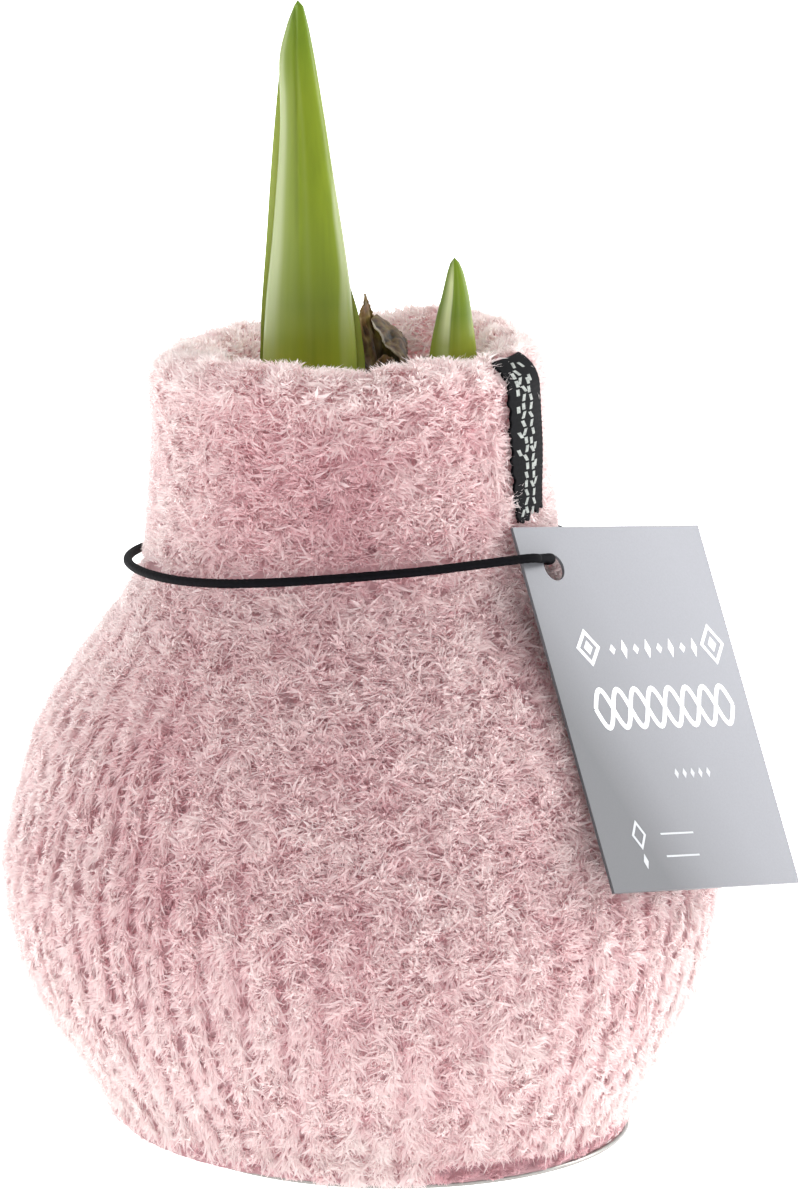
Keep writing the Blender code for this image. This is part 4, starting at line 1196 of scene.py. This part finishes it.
def small_shoot_mesh(material):
    """Pointed bud with a keel a little left of its front."""
    rows = 60
    sides = 60
    low = SMALL_SHOOT_EDGES[0][0]
    high = SMALL_SHOOT_EDGES[-1][0]
    height = low + (high - low) * (1.0 - (1.0 - np.arange(rows) / (rows - 1)) ** 1.3)
    left = spline(SMALL_SHOOT_EDGES, height, 1)[:, None]
    right = spline(SMALL_SHOOT_EDGES, height, 2)[:, None]
    half = 0.5 * (right - left)
    angle = math.tau * np.arange(sides) / sides
    turn = np.angle(np.exp(1j * (angle - SMALL_SHOOT_KEEL_ANGLE)))
    ridge = np.array([math.cos(SMALL_SHOOT_KEEL_ANGLE), 1.12 * math.sin(SMALL_SHOOT_KEEL_ANGLE)])
    edge = np.where((turn < 0.0)[:, None], np.array([-1.0, 0.0]), np.array([1.0, 0.0]))
    span = np.where(turn < 0.0, math.pi + SMALL_SHOOT_KEEL_ANGLE, -SMALL_SHOOT_KEEL_ANGLE)
    share = np.clip(np.abs(turn) / span, 0.0, 1.0)[:, None]
    flat = ridge * (1.0 - share) + edge * share
    round_face = np.stack([np.cos(angle), np.sin(angle)], axis=-1)
    blend = np.where(np.sin(angle) < 0.0, np.where(turn < 0.0, 0.92, 0.5), 0.0)[:, None]
    keel = smooth_step(height, 100.0, 116.0)[:, None]
    pull = blend * (flat - round_face)
    x_share = round_face[:, 0] + keel * pull[:, 0]
    y_share = round_face[:, 1] + keel * pull[:, 1]
    x = 0.5 * (left + right) + half * x_share
    y = SMALL_SHOOT_DEPTH * half * y_share
    side = (x - left) / (right - left)
    rise = np.maximum(height - SMALL_TINTS_FROM, 0.0) / SMALL_TINTS_SPAN
    return pointed_form("small_shoot_surface", x, y, height, SMALL_SHOOT_TIP, side, rise, material)


class AMARYLLIS_OT_small_shoot(bpy.types.Operator):
    """Build the small shoot beside the large one"""

    bl_idname = "amaryllis.small_shoot"
    bl_label = "Small Shoot"

    def execute(self, context):
        settings = context.scene.amaryllis_shoots
        # the small shoot's foot is lighter as painted light against the shade in the mouth
        foot = Vector(settings.small_foot_colour)
        middle = Vector(settings.small_colour)
        tints = (foot, foot, foot.lerp(middle, 0.3), middle, middle, middle)
        # painted highlight: brighter pale streaks on the small shoot
        light = Vector(settings.pale_colour) * 1.9
        material = leaf_material("small_shoot_green", tints, light, SMALL_PAINTED_HIGHLIGHT, settings.roughness)
        dress(small_shoot_mesh(material), "small_shoot")
        return {"FINISHED"}


def paper_material(name, settings, shade):
    """Dry papery tunic: brown with lengthwise streaks and blotches, all darkened by a shade, and near black
    where shade is painted in the hollows.
    """
    material, tree, shader = principled(name, 0.6)
    fine = grain(tree, 1300.0, 4.0, (1.0, 1.0, 0.3), 0.5, 0.2 * MM)
    broad = grain(tree, 650.0, 3.0, (1.0, 1.0, 0.7))
    tints = (settings.dark_colour, settings.brown_colour, settings.pale_colour, settings.red_colour)
    dark, brown, pale, red = (Vector(tint) * shade for tint in tints)
    streaks = ramp(tree, fine["Value"], [(0.4, dark * 0.7), (0.5, brown), (0.66, pale)])
    patch_stops = [(0.4, dark * 0.5), (0.47, red), (0.53, brown), (0.62, pale), (0.7, pale * 1.4)]
    patches = ramp(tree, broad["Value"], patch_stops)
    tint = mix_colour(tree, 0.55, streaks, patches)
    # painted shade: near black in the neck's hollow and low on the scales
    tint = mix_colour(tree, attribute(tree, "painted_hollow_shade"), tint, dark * 0.12)
    tint = mix_colour(tree, attribute(tree, "edge"), tint, Vector(settings.edge_colour))
    tree.links.new(tint, shader.inputs["Base Color"])
    tree.links.new(fine["Normal"], shader.inputs["Normal"])
    return material


def neck_rim(angle):
    """Height of the torn papery rim at an angle from +X."""
    torn = 0.9 * np.sin(5.0 * angle + 0.6) + 0.5 * np.sin(11.0 * angle) + 0.25 * np.sin(23.0 * angle + 1.0)
    return NECK_RIM + torn


def oval(centre, wide, deep, angle, height):
    """Ring of points round a centre on the X axis, at one height or at a height for each."""
    level = np.broadcast_to(height, angle.shape)
    return np.stack([centre + wide * np.cos(angle), deep * np.sin(angle), level], axis=-1)


def bulb_mesh(material):
    """Body of the bulb with its papery ribs, its shoulder and the oval neck round the shoots."""
    columns = 192
    angle = math.tau * np.arange(columns) / columns
    rows = []
    for height in np.concatenate([[2.1, 3.0], np.linspace(4.0, 95.5, 60)]):
        lines = 0.07 * np.sin(61.0 * angle + 3.0 * math.sin(height / 17.0))
        lines = lines + 0.05 * np.sin(97.0 * angle + height / 11.0)
        rib = TUNIC_RIB * (1.0 - np.cos(TUNIC_RIBS * angle)) - lines + 0.12
        radius = spline(BULB_OUTLINE, height) - rib * smooth_step(height, 8.0, 30.0)
        rows.append(oval(body_centre_x(height), radius, radius, angle, height))
    for height, wide, deep, centre in SHOULDER_RINGS:
        rows.append(oval(centre, wide, deep, angle, height))
    rim = neck_rim(angle)
    walls = [(share, 0.0) for share in np.linspace(0.0, 1.0, 8)]
    walls += [(share, NECK_WALL) for share in np.linspace(1.0, 0.0, 6)]
    for share, wall in walls:
        foot = NECK_FOOT if wall == 0.0 else NECK_FLOOR
        height = foot + (rim - foot) * share
        crease = 0.22 * np.sin(9.0 * angle + 0.15 * height) + 0.12 * np.sin(21.0 * angle)
        wide = NECK_HALF_WIDTH - wall + crease - 0.2
        deep = NECK_HALF_DEPTH - wall + crease - 0.2
        rows.append(oval(NECK_CENTRE_X, wide, deep, angle, height))
    points = np.concatenate(rows)
    faces = grid_faces(len(rows), columns, wrap_columns=True).tolist()
    faces.append(tuple(reversed(range(columns))))
    faces.append(tuple(range(len(points) - columns, len(points))))
    piece = mesh_object("bulb_tunic", points, faces, [material])
    point_attribute(piece.data, "edge", np.zeros(len(points)))
    # painted shade: the neck's walls darker above its foot
    point_attribute(piece.data, "painted_hollow_shade", smooth_step(points[:, 2], 100.0, 104.0) * 0.6)
    return piece


def dry_scale(name, rows, material, pale_left, painted_shade_share):
    """Thin torn papery scale through rows of listed points, with a pale curled left edge if asked."""
    down = catmull(np.array(rows), SCALE_ROWS)
    grid = catmull(np.swapaxes(down, 0, 1), SCALE_COLUMNS)
    across = np.linspace(0.0, 1.0, SCALE_COLUMNS)[:, None]
    along = np.linspace(0.0, 1.0, SCALE_ROWS)[None, :]
    fade = np.sin(math.pi * np.clip(1.0 - along, 0.0, 1.0) * 0.5)
    normal = unit(np.cross(np.gradient(grid, axis=1), np.gradient(grid, axis=0)))
    places = grid.reshape(-1, 3) * np.array([1.0, 1.0, 0.6])
    crumple = 0.30 * ripple(places, 2.2, 51) + 0.16 * ripple(places, 1.0, 52)
    grid = grid + normal * (crumple.reshape(across.shape[0], -1) * fade)[:, :, None]
    torn = 0.20 * np.sin(40.0 * along) + 0.16 * np.sin(71.0 * along + 1.0) + 0.10 * np.sin(133.0 * along)
    grid[:, :, 0] += torn * fade * (across ** 3 - 0.5 * (1.0 - across) ** 3)
    piece = shell(name, grid, SCALE_THICKNESS, material)
    edge = np.clip(1.0 - across / 0.10, 0.0, 1.0) * np.clip(along * 3.0 - 1.0, 0.0, 1.0) * pale_left
    flat = np.broadcast_to(edge, grid.shape[:2]).reshape(-1)
    point_attribute(piece.data, "edge", np.concatenate([flat, flat]))
    # painted shade: darker low in the mouth, more away from the scale's left edge
    painted_hollow_shade = fall(grid[:, :, 2], 112.0, 119.0) * painted_shade_share
    painted_hollow_shade = np.maximum(painted_hollow_shade * smooth_step(across, 0.15, 0.45), 0.35 * painted_hollow_shade).reshape(-1)
    point_attribute(piece.data, "painted_hollow_shade", np.concatenate([painted_hollow_shade, painted_hollow_shade]))
    return piece


class AMARYLLIS_OT_bulb(bpy.types.Operator):
    """Build the bulb and the dry scales that stand in the sleeve's mouth"""

    bl_idname = "amaryllis.bulb"
    bl_label = "Bulb"

    def execute(self, context):
        settings = context.scene.amaryllis_bulb
        material = paper_material("bulb_paper", settings, 1.0)
        dark_material = paper_material("dark_bulb_paper", settings, 0.5)
        dress(bulb_mesh(material), "amaryllis_bulb")
        # last number of each scale: how much shade is painted low on it
        scales = (
            ("tall_scale", TALL_SCALE, material, 0.0, 1.0),
            ("curled_scale", CURLED_SCALE, dark_material, 1.0, 0.3),
            ("low_scale", LOW_SCALE, material, 0.0, 0.25),
        )
        for values in scales:
            dress(dry_scale(*values))
        return {"FINISHED"}


def tag_axes():
    """Directions along the tag's top edge, down its side and out of its face."""
    level = np.array([math.cos(TAG_AZIMUTH), math.sin(TAG_AZIMUTH), 0.0])
    reach = math.cos(TAG_LEAN)
    outward = np.array([math.sin(TAG_AZIMUTH) * reach, -math.cos(TAG_AZIMUTH) * reach, math.sin(TAG_LEAN)])
    down = np.cross(outward, level)
    if down[2] > 0.0:
        down = -down
    across = level * math.cos(TAG_ROLL) + down * math.sin(TAG_ROLL)
    along = down * math.cos(TAG_ROLL) - level * math.sin(TAG_ROLL)
    return across, along, outward


def sleeve_radius(height):
    """Radius of the knitted face under the cord and the label."""
    return spline(SLEEVE_NECK, height)


def cord_height(azimuth):
    """Height of the cord round the neck, with a slight sag on the left of its front."""
    turn = signed_degrees(azimuth)
    sag = CORD_SAG * bump(turn, CORD_SAG_AT, CORD_SAG_WIDTH)
    return CORD_HEIGHT + CORD_RISE_FRONT * np.cos(azimuth) + CORD_RISE_RIGHT * np.sin(azimuth) - sag


def cord_route():
    """Places that the cord's loop runs through."""
    across, along, outward = tag_axes()
    azimuth = np.radians(np.array(CORD_DEGREES, dtype=float))
    height = cord_height(azimuth)
    height[:3] -= CORD_DROP_RIGHT
    radius = sleeve_radius(height) * CORD_EASE + CORD_CLEARANCE + CORD_RADIUS
    route = plain_ring(azimuth, radius, height).tolist()
    for right, low, out in CORD_TAG_ROUTE:
        route.append((TAG_HOLE_PLACE + across * right + along * low + outward * out).tolist())
    return route


class AMARYLLIS_OT_cord(bpy.types.Operator):
    """Build the braided elastic cord"""

    bl_idname = "amaryllis.cord"
    bl_label = "Elastic Cord"

    def execute(self, context):
        settings = context.scene.amaryllis_trim
        material, shader = mottled("cord_black", settings.cord_colour, 0.8, 2600.0, 0.4, 0.05 * MM, 0.7)
        set_inputs(shader, {"Specular IOR Level": BLACK_GLOSS})
        dense = catmull(cord_route(), 2400, closed=True)
        lengths, path = even_path(np.concatenate([dense, dense[:1]]), CORD_STEP)
        period = lengths[-1] / round(lengths[-1] / CORD_BRAID)

        def braid(angle, length):
            first = np.abs(np.sin(2.0 * angle + math.pi * length / period))
            second = np.abs(np.sin(2.0 * angle - math.pi * length / period))
            return 0.91 + 0.09 * np.maximum(first, second) ** 2 - 0.03 * np.minimum(first, second)

        piece = tube("cord_surface", path[:-1], CORD_YARN_RADIUS, CORD_SIDES, material, True, braid)
        dress(piece, "elastic_cord")
        return {"FINISHED"}


def label_place(azimuth, length, offset):
    """Place on the label at an azimuth, a length from its low end and an offset from the knit."""
    rise = ROLL_CENTRE[1] - LABEL_LOW
    height = LABEL_LOW + np.minimum(length, rise)
    turn = np.clip((length - rise) / (ROLL_RADIUS + offset), 0.0, math.pi)
    straight = sleeve_radius(height) + offset
    radius = np.where(length <= rise, straight, ROLL_CENTRE[0] + (ROLL_RADIUS + offset) * np.cos(turn))
    height = np.where(length <= rise, height, ROLL_CENTRE[1] + (ROLL_RADIUS + offset) * np.sin(turn))
    return plain_ring(azimuth, radius, height)


def label_taper(height):
    """How much the label's right edge draws in towards its low end, as an angle."""
    return 0.085 * fall(height, LABEL_LOW, LABEL_LOW + 12.0)


def label_mesh(material):
    """Woven label with its fine weave, its ragged left edge and its worn low end."""
    length = np.linspace(0.0, LABEL_LENGTH, 110)[:, None]
    share = np.linspace(0.0, 1.0, 50)[None, :]
    width = LABEL_TO - LABEL_FROM - label_taper(LABEL_LOW + length)
    ragged = 0.007 * (np.sin(length * 1.3) + np.sin(length * 3.1 + 1.0)) * (1.0 - share)
    azimuth = LABEL_FROM + width * share + ragged
    notch = 1.5 * bump(share, 0.55, 0.12) + 1.1 * smooth_step(share, 0.6, 0.9)
    low = (notch + 0.25 * np.sin(31.0 * share)) * fall(length, 0.0, 3.0)
    weave = WEAVE_DEPTH * np.sin(math.tau * (share * WEAVE_COLUMNS + length / WEAVE_ROW))
    weave = weave * np.cos(math.tau * share * WEAVE_COLUMNS)
    grid = label_place(azimuth, length + low, LABEL_OFFSET + LABEL_THICKNESS)
    outward = np.stack([np.sin(azimuth), -np.cos(azimuth), np.zeros_like(azimuth)], axis=-1)
    return shell("label_surface", grid + outward * weave[:, :, None], LABEL_THICKNESS - 0.1, material)


def stitch_mesh(material):
    """Loose slanting stitches in columns on the label."""
    rng = np.random.default_rng(5)
    points = []
    faces = []
    for column, (share, missing) in enumerate(THREAD_COLUMNS):
        for index in range(1, int(LABEL_LENGTH / THREAD_STEP)):
            if rng.random() < missing:
                continue
            slant = (0.06 if (column + index) % 2 else -0.06) * rng.uniform(-0.2, 1.5)
            sway = rng.uniform(-0.04, 0.04)
            start = len(points)
            for corner, bulge in enumerate((0.0, 0.16, 0.0)):
                for end in (0.0, 0.5, 1.0):
                    spot = share + sway + slant * (end - 0.5) * 1.2 + (corner - 1) * THREAD_HALF_WIDTH
                    place = index * THREAD_STEP + 0.95 * (end - 0.5) + (0.3 if column % 2 else 0.0)
                    lift = LABEL_OFFSET + LABEL_THICKNESS + 0.02 + bulge * (1.0 if end == 0.5 else 0.55)
                    wide = LABEL_TO - LABEL_FROM - float(label_taper(LABEL_LOW + place))
                    turn = LABEL_FROM + wide * spot
                    points.append(label_place(np.array(turn), np.array(place), lift))
            faces += (grid_faces(3, 3)[:, ::-1] + start).tolist()
    return mesh_object("label_stitches", points, faces, [material])


class AMARYLLIS_OT_label(bpy.types.Operator):
    """Build the woven label with its pale herringbone stitches"""

    bl_idname = "amaryllis.label"
    bl_label = "Woven Label"

    def execute(self, context):
        settings = context.scene.amaryllis_trim
        material, shader = mottled("label_black", settings.label_colour, 0.7, 3000.0, 0.4, 0.05 * MM, 0.7)
        set_inputs(shader, {"Specular IOR Level": BLACK_GLOSS})
        piece = label_mesh(material)
        dress(piece, "woven_label")
        thread = mottled("label_thread", settings.thread_colour, 0.4, 2500.0, 0.4, 0.05 * MM, 0.6)[0]
        stitches = stitch_mesh(thread)
        dress(stitches)
        return {"FINISHED"}


class AMARYLLIS_OT_tag(bpy.types.Operator):
    """Dress the swing tag and lay its pale ornament on it"""

    bl_idname = "amaryllis.tag"
    bl_label = "Swing Tag"

    def execute(self, context):
        settings = context.scene.amaryllis_trim
        material, tree, shader = principled("satin_card", 0.42)
        set_inputs(shader, {"Metallic": 0.2, "Specular IOR Level": 0.35})
        base = Vector(settings.card_colour)
        across, along, _ = tag_axes()
        # painted light: the card darker at its lower left and lighter towards its upper right, where the
        # right lamp falls on it
        slope = unit(across - 0.45 * along)
        glow = gradient(tree, slope, TAG_HOLE_PLACE - along * 6.2 + across * 3.0, 40.0)
        painted_light_levels = ((0.0, 0.42), (0.22, 0.76), (0.5, 0.98), (1.0, 1.16))
        tint = ramp(tree, glow, [(place, base * level) for place, level in painted_light_levels])
        satin = grain(tree, 3500.0, 2.0, (1.0, 1.0, 1.0), 0.05, 0.01 * MM, (1.0, 1.0, 1.0), 0.03)
        tint = mix_colour(tree, 1.0, tint, satin["Colour"], "MULTIPLY")
        tree.links.new(tint, shader.inputs["Base Color"])
        tree.links.new(satin["Normal"], shader.inputs["Normal"])
        card = bpy.data.objects["swing_tag"]
        card.data.materials.clear()
        card.data.materials.append(material)
        for name, tint, parts in (
            ("tag_ornament", settings.ink_colour, bold_ornament()),
            ("tag_small_marks", settings.faint_ink_colour, faint_ornament()),
        ):
            ink = mottled(name, tint, 0.04, 1500.0, 0.1, 0.01 * MM, 0.5)[0]
            dress(print_on_card(name, parts, ink))
        return {"FINISHED"}


def gradient(tree, direction, middle, length):
    """Value that rises from 0 to 1 along a direction over a length, halfway at a middle place."""
    place = node(tree, "ShaderNodeTexCoord").outputs["Object"]
    dot = node(tree, "ShaderNodeVectorMath", operation="DOT_PRODUCT")
    dot.inputs[1].default_value = direction
    tree.links.new(place, dot.inputs[0])
    level = float(np.dot(direction, middle)) * MM
    half = 0.5 * length * MM
    spread = node(tree, "ShaderNodeMapRange")
    set_inputs(spread, {"From Min": level - half, "From Max": level + half})
    tree.links.new(dot.outputs["Value"], spread.inputs["Value"])
    return spread.outputs["Result"]


def stroke(path, width, closed=False):
    """Flat strip along a path on the card, as left and right places and quads."""
    path = np.asarray(path, dtype=float)
    along = headings(path, closed)
    side = np.stack([-along[:, 1], along[:, 0]], axis=-1) * 0.5 * width
    points = np.stack([path - side, path + side], axis=1).reshape(-1, 2)
    total = len(path)
    faces = []
    for index in range(total if closed else total - 1):
        after = (index + 1) % total
        faces.append((2 * index, 2 * after, 2 * after + 1, 2 * index + 1))
    return points, faces


def lozenge(right, low, half_width, half_height, line=0.0):
    """Upright lozenge on the card: filled, or a line round it."""
    corners = np.array([(0.0, -half_height), (half_width, 0.0), (0.0, half_height), (-half_width, 0.0)])
    middle = np.array([right, low])
    if line == 0.0:
        return middle + corners, [(0, 1, 2, 3)]
    inner = corners * (1.0 - line / min(half_width, half_height))
    faces = [(index, (index + 1) % 4, 4 + (index + 1) % 4, 4 + index) for index in range(4)]
    return np.concatenate([middle + corners, middle + inner]), faces


def bold_ornament():
    """White ornament: a row of lozenges over two twined waves."""
    parts = [
        lozenge(8.8, 18.6, 2.5, 2.9, 0.75), lozenge(8.8, 18.6, 0.9, 1.1),
        lozenge(35.4, 18.6, 2.6, 3.2, 0.7), lozenge(35.4, 18.6, 0.9, 1.2),
    ]
    for index in range(8):
        tall = 1.5 if index % 2 else 0.8
        parts.append(lozenge(13.8 + 2.5 * index, 19.0, 0.62, tall))
    right = np.linspace(6.8, 36.2, 120)
    for turn in (0.0, math.pi):
        low = 28.0 + 2.9 * np.sin(math.tau * (right - 6.8) / 7.35 + turn)
        parts.append(stroke(np.stack([right, low], axis=-1), 0.8))
    return parts


def faint_ornament():
    """Paler small marks near the card's foot."""
    parts = [lozenge(20.0 + 1.7 * index, 38.2, 0.45, 0.8) for index in range(5)]
    parts += [lozenge(8.4, 47.2, 1.5, 2.3, 0.5), lozenge(8.4, 51.2, 0.5, 1.2)]
    for low in (47.2, 50.6):
        parts.append(stroke([(13.0, low), (20.0, low)], 0.28))
    return parts


def print_on_card(name, parts, material):
    """Thin raised print on the card's front, from flat parts in the card's own plane."""
    across, along, outward = tag_axes()
    corner = TAG_HOLE_PLACE - across * TAG_HOLE_FROM_LEFT - along * TAG_HOLE_FROM_TOP
    lift = 0.5 * TAG_THICKNESS + 0.02
    points = []
    faces = []
    for index, (places, quads) in enumerate(parts):
        start = len(points)
        height = lift + 0.004 * (index % 3)
        for right, low in places:
            points.append(corner + across * right + along * low + outward * height)
        faces += [tuple(start + spot for spot in reversed(quad)) for quad in quads]
    return mesh_object(name, points, faces, [material], smooth=False)


def foot_path():
    """Centre line of the wire: the spiral, the run in through the middle and the prong."""
    turned = np.linspace(0.0, FOOT_TURNED, 700)
    radius = FOOT_RADIUS - FOOT_TURN_SPACING * np.maximum(0.0, turned - FOOT_EVEN_TURN) / math.tau
    azimuth = FOOT_START - turned
    shift = FOOT_SHIFT_X * smooth_step(radius, FOOT_SHIFT_FROM_RADIUS, FOOT_RADIUS)
    level = np.full_like(radius, WIRE_RADIUS)
    spiral = np.stack([shift + radius * np.sin(azimuth), -radius * np.cos(azimuth), level], axis=-1)
    heading = unit(spiral[-1] - spiral[-2])
    arrive = np.array([FOOT_RUN_IN, 0.0, WIRE_RADIUS])
    first = spiral[-1] + heading * FOOT_RUN_IN_HANDLE
    second = arrive - np.array([FOOT_RUN_IN_HANDLE, 0.0, 0.0])
    t = np.linspace(0.0, 1.0, 41)[1:, None]
    run_in = spiral[-1] * (1 - t) ** 3 + first * 3 * t * (1 - t) ** 2 + second * 3 * t * t * (1 - t)
    run_in = run_in + arrive * t ** 3
    turn = np.linspace(0.0, 0.5 * math.pi, 12)
    bend_x = PRONG_X - PRONG_BEND + PRONG_BEND * np.sin(turn)
    bend_z = WIRE_RADIUS + PRONG_BEND * (1.0 - np.cos(turn))
    bend = np.stack([bend_x, np.zeros_like(turn), bend_z], axis=-1)
    top = np.array([[PRONG_X, 0.0, PRONG_LENGTH]])
    return even_path(np.concatenate([spiral, run_in, bend, top]), FOOT_STEP)[1]


class AMARYLLIS_OT_foot(bpy.types.Operator):
    """Build the wire foot"""

    bl_idname = "amaryllis.foot"
    bl_label = "Wire Foot"

    def execute(self, context):
        settings = context.scene.amaryllis_trim
        material, shader = mottled("grey_wire", settings.wire_colour, 0.12, 900.0, 0.15, 0.02 * MM, 0.35)
        set_inputs(shader, {"Metallic": 0.8})
        dress(tube("foot_surface", foot_path(), WIRE_RADIUS, WIRE_SIDES, material), "wire_foot")
        return {"FINISHED"}


class AMARYLLIS_OT_stage(bpy.types.Operator):
    """Set the pale floor, the soft studio lights and the camera"""

    bl_idname = "amaryllis.stage"
    bl_label = "Stage"

    def execute(self, context):
        settings = context.scene.amaryllis_stage
        scene = context.scene
        camera = bpy.data.cameras.new("camera")
        camera.lens = settings.lens
        camera.sensor_width = 36.0
        camera.sensor_fit = "AUTO"
        camera.clip_start = 0.05
        camera.clip_end = 20.0
        holder = bpy.data.objects.new("camera", camera)
        holder.location = settings.camera_place
        holder.rotation_euler = (math.radians(90.0) - settings.camera_dip, 0.0, 0.0)
        scene.collection.objects.link(holder)
        scene.camera = holder

        material, _, shader = principled("pale_floor", 0.75)
        set_inputs(shader, {
            "Base Color": (*settings.floor_colour, 1.0), "Emission Color": WHITE,
            "Emission Strength": FLOOR_GLOW,
        })
        signs = ((-1, -1), (1, -1), (1, 1), (-1, 1))
        corners = [(FLOOR_REACH * x, FLOOR_REACH * y, 0) for x, y in signs]
        mesh_object("floor", corners, [(0, 1, 2, 3)], [material])

        world = bpy.data.worlds.new("studio")
        world.use_nodes = True
        sky = world.node_tree
        place = node(sky, "ShaderNodeTexCoord").outputs["Generated"]
        heading = node(sky, "ShaderNodeVectorMath", operation="DOT_PRODUCT")
        heading.inputs[1].default_value = SKY_HEADING
        sky.links.new(place, heading.inputs[0])
        glow = node(sky, "ShaderNodeMapRange")
        set_inputs(glow, SKY_RANGE)
        sky.links.new(heading.outputs["Value"], glow.inputs["Value"])
        sky.links.new(glow.outputs["Result"], sky.nodes["Background"].inputs["Strength"])
        set_inputs(sky.nodes["Background"], {"Color": WHITE})
        scene.world = world
        for name, place, target, size, power in LIGHTS:
            light = bpy.data.lights.new(name, "AREA")
            light.shape = "RECTANGLE"
            light.size, light.size_y = size
            light.energy = power
            lamp = bpy.data.objects.new(name, light)
            lamp.location = place
            lamp.rotation_euler = (Vector(target) - Vector(place)).to_track_quat("-Z", "Y").to_euler()
            scene.collection.objects.link(lamp)
        scene.view_settings.view_transform = "Standard"
        return {"FINISHED"}


class AMARYLLIS_PT_panel(bpy.types.Panel):
    """Buttons that build each piece"""

    bl_idname = "AMARYLLIS_PT_panel"
    bl_label = "Amaryllis"
    bl_space_type = "VIEW_3D"
    bl_region_type = "UI"
    bl_category = "Amaryllis"

    def draw(self, context):
        for step in BUILD_STEPS:
            self.layout.operator(step.bl_idname)


SETTINGS = {
    "amaryllis_sleeve": SleeveSettings,
    "amaryllis_shoots": ShootSettings,
    "amaryllis_bulb": BulbSettings,
    "amaryllis_trim": TrimSettings,
    "amaryllis_stage": StageSettings,
}
BUILD_STEPS = (
    AMARYLLIS_OT_stage,
    AMARYLLIS_OT_sleeve,
    AMARYLLIS_OT_bulb,
    AMARYLLIS_OT_large_shoot,
    AMARYLLIS_OT_small_shoot,
    AMARYLLIS_OT_cord,
    AMARYLLIS_OT_label,
    AMARYLLIS_OT_tag,
    AMARYLLIS_OT_foot,
)


def register():
    """Register the settings, the operators and the panel."""
    for group in SETTINGS.values():
        bpy.utils.register_class(group)
    for step in (*BUILD_STEPS, AMARYLLIS_PT_panel):
        bpy.utils.register_class(step)
    for name, group in SETTINGS.items():
        setattr(bpy.types.Scene, name, PointerProperty(type=group))


def unregister():
    """Take away what register added."""
    for name in SETTINGS:
        delattr(bpy.types.Scene, name)
    for step in (AMARYLLIS_PT_panel, *reversed(BUILD_STEPS)):
        bpy.utils.unregister_class(step)
    for group in SETTINGS.values():
        bpy.utils.unregister_class(group)


def main():
    """Build every piece in order."""
    register()
    for step in BUILD_STEPS:
        group, name = step.bl_idname.split(".")
        getattr(getattr(bpy.ops, group), name)()


if __name__ == "__main__":
    main()
